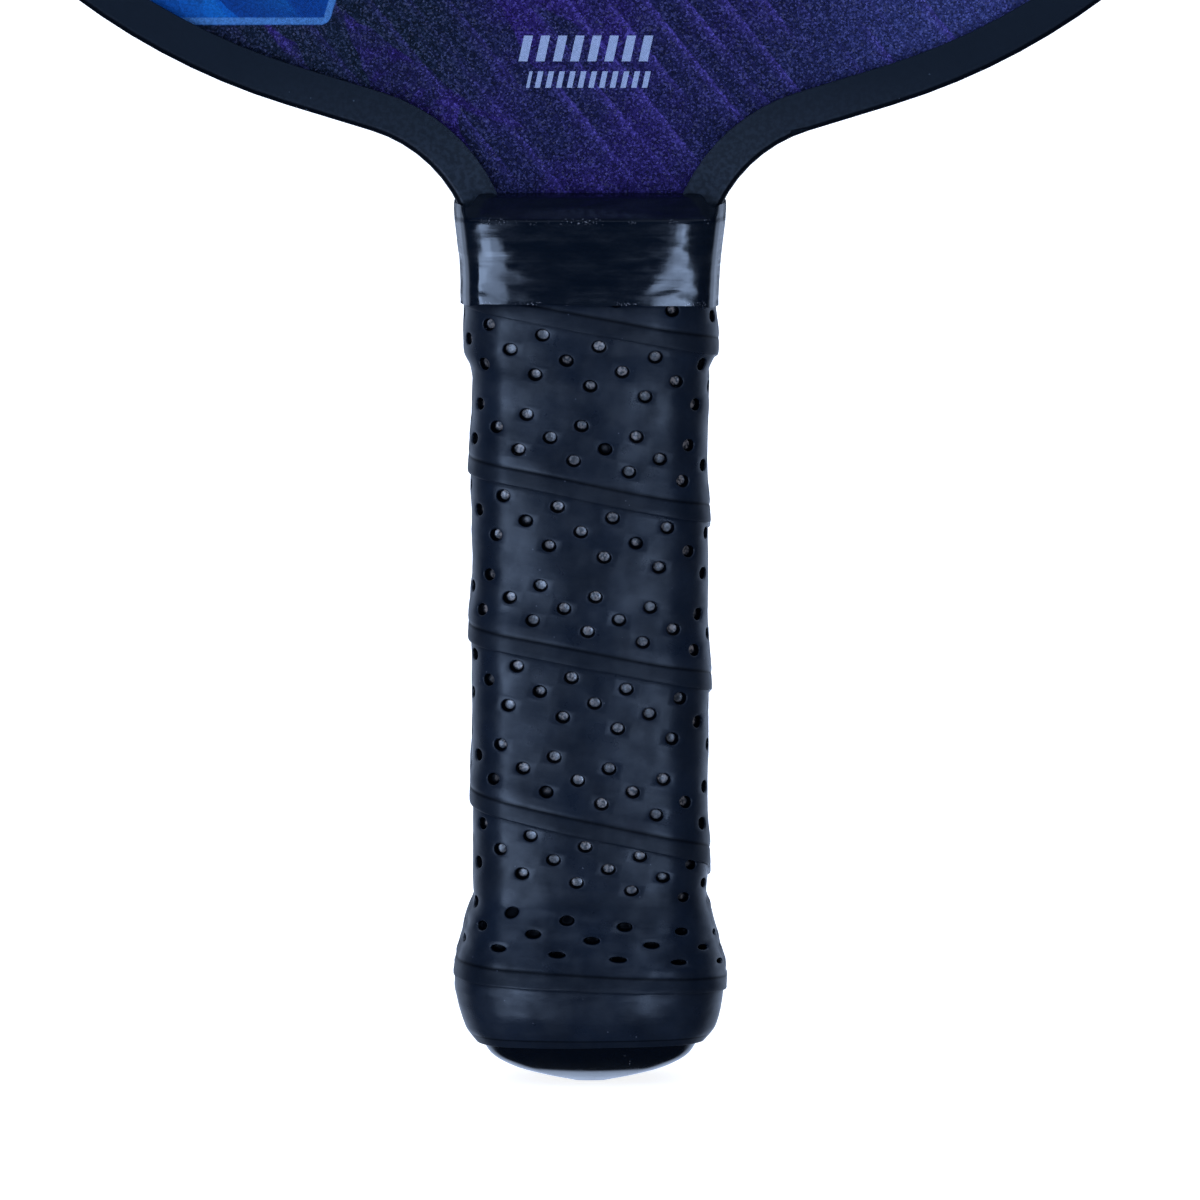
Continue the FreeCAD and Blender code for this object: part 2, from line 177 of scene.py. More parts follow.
def closed_loop(quarter, softness):
    """Closed section from the quarter between its front and its left side, rounded off a little."""
    quarter = np.array(quarter, float)
    left = np.vstack([quarter, (quarter * (1, -1))[::-1][1:]])
    loop = np.vstack([left, (left * (-1, 1))[::-1][1:-1]])
    size = np.abs(loop).max(axis=0)
    loop = evenly(loop)
    reach = max(int(SAMPLES * softness), 1)
    kernel = np.hanning(2 * reach + 3)[1:-1]
    kernel /= kernel.sum()
    ringed = np.vstack([loop[-reach:], loop, loop[:reach]])
    soft = np.stack([np.convolve(ringed[:, c], kernel, "valid") for c in range(2)], axis=1)
    soft *= size / np.abs(soft).max(axis=0)
    return evenly(soft)


def loop_normals(loop):
    """Outward normals of a closed section that is walked from its front over its left side."""
    ahead = np.roll(loop, -1, axis=0) - np.roll(loop, 1, axis=0)
    ahead /= np.linalg.norm(ahead, axis=1)[:, None]
    return np.stack([-ahead[:, 1], ahead[:, 0]], axis=1)


def loop_length(loop):
    return np.linalg.norm(np.roll(loop, -1, axis=0) - loop, axis=1).sum()


def spread_for_cover(loop):
    """The same section, with its points spaced so that they are even on the surface of the strip on it."""
    return evenly(loop, loop + loop_normals(loop) * STRIP_THICKNESS)


def handle_section(half_width, half_depth, softness=0.008):
    """Section of the handle: crowned front and back, straight sides and round corners."""
    grown = half_width - BASE_WIDTH
    shrink = min(1.0, half_width / BASE_WIDTH)
    crown = CROWN_RADIUS * shrink + max(0.0, grown)
    corner = min(HANDLE_CORNER * shrink + max(0.0, grown), CORNER_TO_DEPTH_LIMIT * half_depth)
    crown_y = crown - half_depth
    corner_x = half_width - corner
    corner_y = crown_y - math.sqrt((crown - corner) ** 2 - corner_x ** 2)
    lean = math.atan2(corner_x, crown_y - corner_y)
    quarter = [(-crown * math.sin(a), crown_y - crown * math.cos(a)) for a in np.linspace(0, lean, 12)]
    quarter += [(-corner_x - corner * math.sin(a), corner_y - corner * math.cos(a))
                for a in np.linspace(lean, math.pi / 2, 16)[1:]]
    return closed_loop(quarter + [(-half_width, 0.0)], softness)


SECTION_Z = np.linspace(PROFILE_Z[0], PROFILE_Z[-1], 240)
SECTIONS = np.stack([spread_for_cover(handle_section(w, d)) for w, d in handle_size(SECTION_Z)])
SECTION_NORMALS = np.stack([loop_normals(loop) for loop in SECTIONS])


def on_handle(fraction, z):
    """Points on the handle and their outward normals, by the fraction of the way round and the height."""
    row = np.interp(z, SECTION_Z, np.arange(len(SECTION_Z)))
    column = np.mod(fraction, 1.0) * SAMPLES
    row_low = np.minimum(row.astype(int), len(SECTION_Z) - 2)
    column_low = column.astype(int) % SAMPLES
    row_share = (row - row_low)[:, None]
    column_share = (column - np.floor(column))[:, None]
    column_high = (column_low + 1) % SAMPLES
    found = []
    for table in (SECTIONS, SECTION_NORMALS):
        low = table[row_low, column_low] * (1 - column_share) + table[row_low, column_high] * column_share
        high = (table[row_low + 1, column_low] * (1 - column_share)
                + table[row_low + 1, column_high] * column_share)
        found.append(low * (1 - row_share) + high * row_share)
    return found[0], found[1]


GIRTH = loop_length(handle_section(BASE_WIDTH, BASE_DEPTH)) + 2 * math.pi * STRIP_THICKNESS
HELIX_ANGLE = math.atan(PITCH / GIRTH)
COS, SIN = math.cos(HELIX_ANGLE), math.sin(HELIX_ANGLE)
OVERLAP_Z = STRIP_WIDTH / COS - PITCH


# ---------------------------------------------------------------- winding of the grip

def smooth_step(value, low, high):
    """0 below low, 1 above high, and a smooth curve between."""
    share = np.clip((value - low) / (high - low), 0.0, 1.0)
    return share * share * (3 - 2 * share)


SEAM_TURNS = np.linspace(BUTT_SEAM[0][0], SEAM_LAST_TURN, 1001)
SEAM_HEIGHTS = np.interp(SEAM_TURNS, *zip(*BUTT_SEAM)) + PITCH * np.maximum(SEAM_TURNS, 0.0)
SEAM_SWAY = SEAM_DOUBLE_SWAY * np.sin(4 * math.pi * SEAM_TURNS)
SEAM_SWAY += SEAM_SINGLE_SWAY * np.sin(2 * math.pi * SEAM_TURNS)
SEAM_HEIGHTS += SEAM_SWAY * smooth_step(SEAM_TURNS, 0.0, 0.6)
SEAM_HEIGHTS += SEAM_LIFT * smooth_step(SEAM_TURNS, 0.2, 0.9)
SEAM_HEIGHTS = smoothed(SEAM_HEIGHTS[:, None], 10)[:, 0]


def seam_z(turn):
    """Height of the strip's lower edge after a number of turns."""
    return np.interp(turn, SEAM_TURNS, SEAM_HEIGHTS)


# Height of the outer surface by distance from the lower edge, where the strip lies on the turn below.
LOWER_BORDER = (
    (0.0, 1.95), (0.14, 2.05), (0.5, 2.06), (1.3, 2.02), (2.15, 1.98), (2.35, 1.90), (2.5, 1.90),
    (2.75, 1.98), (3.3, 2.02), (4.2, 1.94), (5.6, 1.77), (7.5, 1.64), (9.0, 1.60),
)
# Where the strip lies on the handle its lower edge is rolled down. Its upper edge is skived everywhere.
ROLLED_WIDTH = 2.2
ROLLED_DEPTH = 1.1
SKIVE_EDGE = 0.5
SKIVE_SLOPE = 0.2895
# The underside, from its height at the lower edge down the skived edge below it to the handle.
UNDER_EDGE = 1.62
UNDER_SLOPE = 0.286
UNDER_KNEE = 3.67
UNDER_END = 4.6
# Share of its thickness that the strip keeps, by height. It is less over the cap's skirt, over the guard's
# tails and under the finishing tape.
TAILS_SQUEEZE = 0.76
SQUEEZE = ((10.0, 1.0), (16.0, 0.84), (25.5, 0.72), (28.5, 1.0), (100.0, 1.0), (104.0, TAILS_SQUEEZE),
           (TAPE_LOW - 0.3, TAILS_SQUEEZE), (TAPE_LOW + 1.2, 0.55))


def outer_height(turn, from_lower, from_upper):
    """Height of the strip's outer surface above the handle, from the distances to its two edges."""
    border = np.interp(from_lower, *zip(*LOWER_BORDER))
    single = STRIP_THICKNESS - ROLLED_DEPTH * np.clip(1 - from_lower / ROLLED_WIDTH, 0, 1) ** 2
    raised = smooth_step(turn, COVERED_TURN, COVERED_TURN + CLIMB_TURNS)
    height = single + (border - single) * raised
    skived = SKIVE_EDGE + SKIVE_SLOPE * from_upper
    return np.minimum(height, np.maximum(skived, SKIVE_EDGE))


def squeeze(z):
    """Share of its thickness that the strip keeps at heights z."""
    return np.interp(z, *zip(*SQUEEZE))


def inner_height(turn, from_lower):
    """Height of the strip's underside, which climbs over the turn below."""
    over = np.interp(from_lower, (0.0, UNDER_KNEE, UNDER_END),
                     (UNDER_EDGE, UNDER_EDGE - UNDER_KNEE * UNDER_SLOPE, 0.0))
    return over * smooth_step(turn, COVERED_TURN, COVERED_TURN + CLIMB_TURNS)


def uneven(points, size, depth, seed):
    """Smooth random height at points, with features of a given size."""
    offset = Vector((seed * 17.3, seed * 5.1, seed * 9.7))
    return np.array([noise.noise(Vector(p) / size + offset) for p in points]) * depth


def grip_unevenness(points):
    """Unevenness of the cushion under tension: broad swells, smaller folds along the winding, and puckers
    over the flare of the butt."""
    swells = uneven(points, size=13.0, depth=0.24, seed=1)
    folds = uneven(points * (0.5, 0.5, 1.5), size=5.0, depth=0.13, seed=2)
    puckers = uneven(points * (0.5, 0.5, 1.7), size=2.2, depth=0.16, seed=3)
    z = points[:, 2]
    puckers *= smooth_step(z, 11.0, 15.0) * (1 - smooth_step(z, 24.0, 29.0))
    return swells + folds + puckers - 0.06


def wrapped(turn, z, height):
    """Points at heights above the handle, given turns and z."""
    surface, normal = on_handle(turn, z)
    return np.column_stack([surface + normal * np.asarray(height)[:, None], z])


def strip_points(s, t, dent=0.0, inner=False):
    """Points of the strip from s along it and t across it, both from its middle at the front."""
    turn = (s * COS - t * SIN) / GIRTH
    low = seam_z(turn)
    high = seam_z(turn + 1) + OVERLAP_Z
    share = t / STRIP_WIDTH + 0.5
    z = low + share * (high - low)
    base = wrapped(turn, z, np.zeros_like(z))
    wander = np.array([noise.noise(Vector((v / WANDER_LENGTH, 3.7, 0.0))) for v in s]) * WANDER_HEIGHT
    z = z + wander * (1 - smooth_step(share, 0.0, 0.3))
    from_lower, from_upper = (z - low) * COS, (high - z) * COS
    from_lower = np.maximum(from_lower - wander * COS, 0)
    kept = squeeze(z)
    if inner:
        height = inner_height(turn, from_lower) * kept
        height = height + grip_unevenness(base) * smooth_step(height, 0.0, 0.5)
    else:
        height = (outer_height(turn, from_lower, from_upper) - dent) * kept + grip_unevenness(base)
    return wrapped(turn, z, height)


def rows_across():
    """Places across the strip of its mesh rows, and the first row of each line of pits."""
    half = STRIP_WIDTH / 2
    rows = [-half + distance for distance in BORDER_ROWS]
    starts = []
    for k, centre in enumerate(PIT_ROWS):
        low = centre - PIT_ROW_WIDTH / 2
        if k == 0:
            rows.append(low)
        elif low > rows[-1] + 0.01:
            gap, start = low - rows[-1], rows[-1]
            count = max(1, round(gap / PLAIN_ROW_WIDTH))
            rows += [start + gap * n / count for n in range(1, count + 1)]
        starts.append(len(rows) - 1)
        rows += [low + PIT_ROW_WIDTH * n / CELL_STEPS_ACROSS for n in range(1, CELL_STEPS_ACROSS + 1)]
    rows += [rows[-1] + (half - rows[-1]) * share for share in LAST_ROW_SHARES]
    return np.array(rows), starts


# Rings of a pit from outside to inside: radius as a share of the pit's, and share of its depth.
PIT_RINGS = ((1.15, -0.02), (1.06, 0.01), (1.00, 0.08), (0.955, 0.34), (0.91, 0.60), (0.86, 0.79),
             (0.76, 0.89), (0.53, 0.96), (0.27, 0.99))


def cell_perimeter():
    """Steps round a cell, as (along, across) pairs from its corner."""
    along, across = CELL_STEPS_ALONG, CELL_STEPS_ACROSS
    steps = [(k, 0) for k in range(along)] + [(along, k) for k in range(across)]
    steps += [(along - k, across) for k in range(along)] + [(0, across - k) for k in range(across)]
    return np.array(steps)


CELL_STEPS = cell_perimeter()
PIT_ANGLES = np.arctan2(CELL_STEPS[:, 1] - CELL_STEPS_ACROSS / 2, CELL_STEPS[:, 0] - CELL_STEPS_ALONG / 2)


def make_mesh(name, points, faces, attributes=None):
    """Blender object from points in millimetres. Points that no face uses are left out."""
    flat = [i for face in faces for i in face]
    used = np.unique(flat)
    renumber = np.full(len(points), -1)
    renumber[used] = np.arange(len(used))
    counts = np.array([len(f) for f in faces])
    loops = renumber[np.array(flat)]
    mesh = bpy.data.meshes.new(name)
    mesh.vertices.add(len(used))
    mesh.vertices.foreach_set("co", (points[used] * MM).astype(np.float32).ravel())
    mesh.loops.add(len(loops))
    mesh.loops.foreach_set("vertex_index", loops.astype(np.int32))
    mesh.polygons.add(len(faces))
    mesh.polygons.foreach_set("loop_start", np.concatenate([[0], np.cumsum(counts)[:-1]]).astype(np.int32))
    for key, values in (attributes or {}).items():
        layer = mesh.attributes.new(key, "FLOAT", "POINT")
        layer.data.foreach_set("value", np.asarray(values)[used].astype(np.float32))
    mesh.update(calc_edges=True)
    mesh.validate()
    made = bpy.data.objects.new(name, mesh)
    bpy.context.scene.collection.objects.link(made)
    return made


def ring_faces(a, b, columns, reverse=False):
    """Faces between two rings of points, by the number of each ring's first point."""
    k = np.arange(columns)
    following = (k + 1) % columns
    quad = [a + k, a + following, b + following, b + k]
    if reverse:
        quad = [quad[corner] for corner in (0, 3, 2, 1)]
    return np.column_stack(quad).tolist()


def shade(piece, angle):
    """Smooth shading that keeps edges sharper than the angle."""
    mesh = piece.data
    mesh.polygons.foreach_set("use_smooth", [True] * len(mesh.polygons))
    mesh.set_sharp_from_angle(angle=math.radians(angle))


def outward(piece):
    """Turns every face to point outwards."""
    shape = bmesh.new()
    shape.from_mesh(piece.data)
    bmesh.ops.recalc_face_normals(shape, faces=shape.faces)
    shape.to_mesh(piece.data)
    shape.free()


def cut_level(piece, z):
    """Cuts off what is above a height and closes the cut."""
    shape = bmesh.new()
    shape.from_mesh(piece.data)
    everything = shape.verts[:] + shape.edges[:] + shape.faces[:]
    cut = bmesh.ops.bisect_plane(shape, geom=everything, dist=1e-7, plane_co=(0, 0, z * MM),
                                 plane_no=(0, 0, 1), clear_outer=True)
    rim = [e for e in cut["geom_cut"] if isinstance(e, bmesh.types.BMEdge) and e.is_boundary]
    bmesh.ops.holes_fill(shape, edges=rim, sides=0)
    shape.to_mesh(piece.data)
    shape.free()


def pit_size(z, chance):
    """Radii, depth and the painted light of a pit's floor, by the height of its middle."""
    pull = 1 - float(smooth_step(z, *PULLED_Z))
    along = PIT_RADIUS_ALONG * (1 + PULLED_LONGER * pull)
    across = PIT_RADIUS_ACROSS * (1 - PULLED_NARROWER * pull)
    depth = PIT_DEPTH * (1 + PULLED_DEEPER * pull)
    # Painted shade: over the flare the floor's light drops, so the floor takes the walls' dark colour.
    light = DARK_FLOOR + (1 - DARK_FLOOR) * float(smooth_step(z, *DARK_FLOOR_Z))
    return along, across, depth, light * (1 - FLOOR_VARIETY * max(0.0, chance))


def punch_pit(s, t, chance, cell, first_point):
    """Points of a pit, as rows of s, t, depth and shade, and its faces from the cell's points inwards. The
    pit's own points are numbered from the first."""
    z = float(strip_points(np.array([s]), np.array([t]))[0, 2])
    along, across, depth, light = pit_size(z, chance)
    points, rings = [], [cell]
    for k, (radius, share) in enumerate(PIT_RINGS):
        points.append(np.column_stack([
            s + np.cos(PIT_ANGLES) * along * radius,
            t + PIT_LEAN * share + np.sin(PIT_ANGLES) * across * radius,
            np.full(PERIMETER, depth * share),
            np.full(PERIMETER, max(share, 0.0) * light),
        ]))
        rings.append(first_point + k * PERIMETER + np.arange(PERIMETER))
    middle = first_point + len(PIT_RINGS) * PERIMETER
    points.append([[s, t + PIT_LEAN, depth, light]])
    following = np.roll(np.arange(PERIMETER), -1)
    faces = []
    for outer, inner in zip(rings, rings[1:]):
        faces += np.column_stack([outer, outer[following], inner[following], inner]).tolist()
    innermost = rings[-1]
    faces += [[int(innermost[k]), int(innermost[following[k]]), middle] for k in range(PERIMETER)]
    return np.vstack(points), faces


def punched_pits(s_values, columns, pit_starts, lattice, whole):
    """All pits of the strip, in every second cell of their rows. Their cells are struck off as not whole."""
    points, faces = [], []
    next_point = lattice(len(s_values), 0)
    for row, (t, start) in enumerate(zip(PIT_ROWS, pit_starts)):
        for place, column in enumerate(columns):
            s = s_values[0] + (place + 0.5) * PIT_PITCH / 2
            turn = (s * COS - t * SIN) / GIRTH
            if (column + PIT_ROW_SHIFTS[row]) % 2 or turn < PITS_START_TURN:
                continue
            i = place * CELL_STEPS_ALONG
            whole[i:i + CELL_STEPS_ALONG, start:start + CELL_STEPS_ACROSS] = False
            chance = noise.noise(Vector((s * 0.37, row * 1.9, 4.1)))
            cell = lattice(i + CELL_STEPS[:, 0], start + CELL_STEPS[:, 1])
            pit_points, pit_faces = punch_pit(s, t, chance, cell, next_point)
            points.append(pit_points)
            faces += pit_faces
            next_point += len(pit_points)
    return np.vstack(points), faces


def strip_underside(s_values, rows, first_point, lattice):
    """The strip's underside, on fewer rows, with the faces that close it to the outer side."""
    last_s, last_t = len(s_values) - 1, len(rows) - 1
    kept = np.unique(np.r_[UNDERSIDE_ROWS, np.arange(UNDERSIDE_ROWS[-1], last_t, UNDERSIDE_STEP), last_t])
    s, t = (a.ravel() for a in np.meshgrid(s_values, rows[kept], indexing="ij"))

    def below(i, j):
        return first_point + i * len(kept) + j

    i, j = (a.ravel() for a in np.meshgrid(np.arange(last_s), np.arange(len(kept) - 1), indexing="ij"))
    faces = np.column_stack([below(i, j), below(i, j + 1), below(i + 1, j + 1), below(i + 1, j)]).tolist()
    i = np.arange(last_s)
    for top, bottom in ((0, 0), (last_t, len(kept) - 1)):
        faces += np.column_stack([lattice(i, top), below(i, bottom), below(i + 1, bottom),
                                  lattice(i + 1, top)]).tolist()
    for end in (0, last_s):
        faces.append([int(lattice(end, k)) for k in range(len(rows))]
                     + [int(below(end, k)) for k in reversed(range(len(kept)))])
    return strip_points(s, t, inner=True), faces


def grip_strip():
    """The grip: one perforated strip, wound from the butt to the top and cut level there."""
    column_width = PIT_PITCH / 2
    rows, pit_starts = rows_across()
    first = round(START_TURN * GIRTH / COS / column_width)
    end_turn = (GRIP_HIGH - SEAM_FRONT_Z) / PITCH + SPARE_TURN
    columns = range(first, round(end_turn * GIRTH / COS / column_width))
    steps = np.arange(len(columns) * CELL_STEPS_ALONG + 1)
    s_values = PIT_PHASE + steps * (column_width / CELL_STEPS_ALONG) + first * column_width
    s, t = (a.ravel() for a in np.meshgrid(s_values, rows, indexing="ij"))

    def lattice(i, j):
        return i * len(rows) + j

    whole = np.ones((len(s_values) - 1, len(rows) - 1), bool)
    pits, faces = punched_pits(s_values, columns, pit_starts, lattice, whole)
    i, j = np.nonzero(whole)
    faces += np.column_stack([lattice(i, j), lattice(i + 1, j), lattice(i + 1, j + 1),
                              lattice(i, j + 1)]).tolist()
    s, t = np.concatenate([s, pits[:, 0]]), np.concatenate([t, pits[:, 1]])
    plain = np.zeros(len(s_values) * len(rows))
    outer = strip_points(s, t, np.concatenate([plain, pits[:, 2]]))
    under, closing = strip_underside(s_values, rows, len(outer), lattice)

    half = STRIP_WIDTH / 2
    border = 1 - smooth_step(t, -half + BORDER_END[0], -half + BORDER_END[1])
    crease = np.exp(-((t + half - CREASE_PLACE) / CREASE_REACH) ** 2)
    filler = np.zeros(len(under))
    strip = make_mesh("grip_strip", np.vstack([outer, under]), faces + closing, {
        "pit": np.concatenate([plain, pits[:, 3], filler]),
        "border": np.concatenate([border, filler]),
        "crease": np.concatenate([crease, filler]),
    })
    outward(strip)
    cut_level(strip, GRIP_HIGH)
    shade(strip, 50.0)
    return strip


def wound_height(turn, z):
    """Height of the outermost strip surface at a fraction of a turn and a height."""
    height = np.full(len(z), STRIP_THICKNESS)
    for lap in range(-3, 5):
        low = seam_z(turn + lap)
        high = seam_z(turn + lap + 1) + OVERLAP_Z
        covers = (z >= low) & (z <= high)
        found = outer_height(turn + lap, (z - low) * COS, (high - z) * COS)
        height = np.where(covers, found, height)
    return height * squeeze(np.full_like(z, TAPE_LOW - 1.0))


# ---------------------------------------------------------------- finishing tape

TAPE_GAUGE = 0.22
TAPE_SHOULDER_Z = 122.7
TAPE_LEAN_Z = 114.0
TAPE_ROWS = 96
TAPE_COLUMNS = 480
# How far the tape's sides lie inside its CAD solid, by height.
TAPE_TRIM = ((110.0, 0.45), (117.0, 0.66), (122.2, 0.50), (126.2, 0.45))
# Its front is bowed more at the bottom than at the top.
LOW_BOW, HIGH_BOW = 2.7, 6.5
BOW_CHANGE_Z = (112.0, 121.5)
# Its section before it is fitted to the CAD: half of the front, and the way round a corner and down a side.
FRONT_STEPS = 16
FRONT_HALF, FRONT_DEPTH, FRONT_DROP = 15.7, 14.5, 1.42
TAPE_SIDE = ((-16.4, -12.65), (-17.05, -11.95), (-17.55, -10.85), (-18.0, -9.2), (-18.4, -6.2), (-18.5, 0.0))
TAPE_CORNER_X, TAPE_CORNER_REACH = 16.4, 0.8
TAPE_SIDE_X = (15.2, 17.2)
# Sway of its lower edge, how much lower its edges are at the sides and the upper one at the corners, and how
# far its sides close in above the shoulder.
LOW_EDGE_SWAY, LOW_EDGE_SAG = 0.22, 0.35
HIGH_EDGE_SAG, HIGH_CORNER_SAG = 1.5, 0.5
SHUT_IN = 0.7
# Between these the tape steps from the face's skin out to the guard's flange.
FLANGE_X = (12.6, 13.6)


def tape_section(bow):
    """Section of the tape: bowed front, folded corners and sides that curve out over the guard."""
    front = [(-FRONT_HALF * k / FRONT_STEPS, -FRONT_DEPTH + FRONT_DROP * (k / FRONT_STEPS) ** bow)
             for k in range(FRONT_STEPS + 1)]
    return closed_loop(front + list(TAPE_SIDE), 0.0042)


def tape_outline(low_section, high_section, corner):
    """Rows of the tape's points: up from its lower edge, over its shoulder, and in to the guard and face."""
    step = SAMPLES // TAPE_COLUMNS
    low_shape, high_shape = low_section[::step], high_section[::step]
    half_width, half_depth = np.abs(low_section).max(axis=0)
    across = np.abs(low_shape[:, 0])
    side = smooth_step(across, *TAPE_SIDE_X)
    fractions = np.arange(TAPE_COLUMNS) / TAPE_COLUMNS
    low_z = TAPE_LOW + LOW_EDGE_SWAY * np.sin(2 * math.pi * (fractions + 0.1)) - LOW_EDGE_SAG * side
    high_z = TAPE_HIGH - HIGH_EDGE_SAG * side - HIGH_CORNER_SAG * corner
    cad_z = (TAPE_LOW + 0.3, TAPE_SHOULDER_Z, TAPE_HIGH - 0.1)
    cad = half_sizes("finishing_tape", cad_z)
    low_depth, high_depth = cad[0, 1], cad[2, 1]
    skin_y = -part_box("front_face_skin")[0][1] / MM
    flange_y = -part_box("edge_guard")[0][1] / MM
    end_depth = skin_y + 0.3 + (flange_y + 0.1 - skin_y) * smooth_step(across, *FLANGE_X)
    points = []
    for row in np.linspace(0, 1, TAPE_ROWS) ** 0.9:
        z = low_z + row * (high_z - low_z)
        shut = np.clip((z - TAPE_SHOULDER_Z) / (TAPE_HIGH - TAPE_SHOULDER_Z), 0, 1)
        lean = np.clip((z - TAPE_LEAN_Z) / (TAPE_SHOULDER_Z - TAPE_LEAN_Z), 0, 1)
        width = np.interp(z, cad_z, cad[:, 0]) - np.interp(z, *zip(*TAPE_TRIM)) - SHUT_IN * shut ** 3
        depth = low_depth + 0.05 - 0.3 * lean ** 1.8 - (low_depth - high_depth - 0.3) * shut ** 1.1
        depth = depth - (high_depth - end_depth) * smooth_step(shut, 0.86, 1.0)
        shape = low_shape + (high_shape - low_shape) * smooth_step(z, *BOW_CHANGE_Z)[:, None]
        x, y = shape[:, 0] * (width / half_width), shape[:, 1] * (depth / half_depth)
        points.append(np.column_stack([x, y, z]))
    return np.vstack(points)


def tape_relief(points, across, corner):
    """Heights on the tape: streaks and wrinkles of its stretching, a crease at its shoulder, the tuck of its
    corners, the edge of its second lap, and the strip's overlap that shows through above its lower edge."""
    z = points[:, 2]
    fractions = np.arange(TAPE_COLUMNS) / TAPE_COLUMNS
    turn = np.tile(fractions, TAPE_ROWS)
    streaks = uneven(points * (0.16, 0.3, 1.0), size=1.1, depth=0.030, seed=5)
    wrinkles = uneven(points * (0.4, 0.4, 1.0), size=1.25, depth=0.068, seed=8)
    wrinkles *= smooth_step(np.abs(points[:, 0]), 4.0, 9.0)
    ripples = uneven(points * (0.30, 0.3, 1.0), size=3.0, depth=0.12, seed=6)
    pulled = uneven(points * (1.0, 1.0, 0.35), size=4.5, depth=0.05, seed=7)
    taut = 1 - 0.75 * smooth_step(np.tile(across, TAPE_ROWS), 16.5, 17.4)
    crease = -0.03 * np.exp(-((z - TAPE_SHOULDER_Z - 0.1) / 0.3) ** 2)
    tuck = -0.35 * np.tile(corner, TAPE_ROWS) * smooth_step(z, TAPE_SHOULDER_Z - 0.6, TAPE_SHOULDER_Z + 1.6)
    lap_z = 117.3 + 0.9 * np.sin(2 * math.pi * (turn + 0.07)) + 0.5 * np.cos(6 * math.pi * turn)
    second_lap = 0.035 * smooth_step(z - lap_z, -0.1, 0.1) * (1 - smooth_step(z - lap_z, 0.6, 3.0))
    under = wound_height(fractions, np.full(TAPE_COLUMNS, TAPE_LOW)) - STRIP_THICKNESS * TAILS_SQUEEZE
    under = np.tile(smoothed(under[:, None], 14)[:, 0], TAPE_ROWS)
    under *= 1 - smooth_step(z, TAPE_LOW + 0.5, TAPE_LOW + 4.0)
    return 0.6 * under + (streaks + wrinkles + ripples + pulled) * taut + crease + tuck + second_lap


def finishing_tape():
    """Tape stretched round the top of the grip. Its upper edge closes in on the guard and the face."""
    section = tape_section(LOW_BOW)
    step = SAMPLES // TAPE_COLUMNS
    across = np.abs(section[::step, 0])
    corner = np.exp(-((across - TAPE_CORNER_X) / TAPE_CORNER_REACH) ** 2)
    points = tape_outline(section, tape_section(HIGH_BOW), corner)
    normals = np.tile(loop_normals(section)[::step], (TAPE_ROWS, 1))
    height = tape_relief(points, across, corner)
    flat = np.zeros(len(points))
    outside = points + np.column_stack([normals * height[:, None], flat])
    inside = points + np.column_stack([normals * (height - TAPE_GAUGE)[:, None], flat])
    faces = []
    for row in range(TAPE_ROWS - 1):
        a, b = row * TAPE_COLUMNS, (row + 1) * TAPE_COLUMNS
        faces += ring_faces(a, b, TAPE_COLUMNS, reverse=True)
        faces += ring_faces(a + len(points), b + len(points), TAPE_COLUMNS)
    for row in (0, TAPE_ROWS - 1):
        a = row * TAPE_COLUMNS
        faces += ring_faces(a, a + len(points), TAPE_COLUMNS)
    tape = make_mesh("finishing_tape_wrap", np.vstack([outside, inside]), faces)
    outward(tape)
    shade(tape, 60.0)
    return tape


# ---------------------------------------------------------------- butt cap

CAP_ROWS = 44
CAP_COLUMNS = 288
SOCKET_CLEARANCE = 0.05


def cap_profile():
    """Heights from the cap's end up to the top of its skirt, and its half sizes there."""
    low, high = (corner[2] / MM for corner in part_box("butt_cap"))
    z = low + (high - low) * np.linspace(0, 1, CAP_ROWS) ** 1.7
    sizes = half_sizes("butt_cap", np.clip(z, low + 0.02, high - 0.02))
    return z, smoothed(sizes, 2)


def butt_cap_shell():
    """Glossy flared cap with a shallow domed end and an open top that takes the handle."""
    z, sizes = cap_profile()
    floor_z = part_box("front_pallet")[0][2] / MM
    socket = half_sizes("front_pallet", [MID_HANDLE_Z])[0] + SOCKET_CLEARANCE
    levels = [(height, *size) for height, size in zip(z, sizes)]
    levels += [(height, *socket) for height in (z[-1], floor_z)]
    points = []
    for height, width, depth in levels:
        place = handle_section(width, depth)[::SAMPLES // CAP_COLUMNS]
        points.append(np.column_stack([place, np.full(CAP_COLUMNS, height)]))
    rings = [k * CAP_COLUMNS for k in range(len(levels))]
    faces = []
    for a, b in zip(rings, rings[1:]):
        faces += ring_faces(a, b, CAP_COLUMNS)
    for n, (ring, height) in enumerate(((rings[0], z[0]), (rings[-1], floor_z))):
        middle = len(levels) * CAP_COLUMNS + n
        points.append([[0.0, 0.0, height]])
        faces += [[ring + k, ring + (k + 1) % CAP_COLUMNS, middle] for k in range(CAP_COLUMNS)]
    cap = make_mesh("butt_cap_shell", np.vstack(points), faces)
    outward(cap)
    shade(cap, 50.0)
    return cap


# ---------------------------------------------------------------- materials

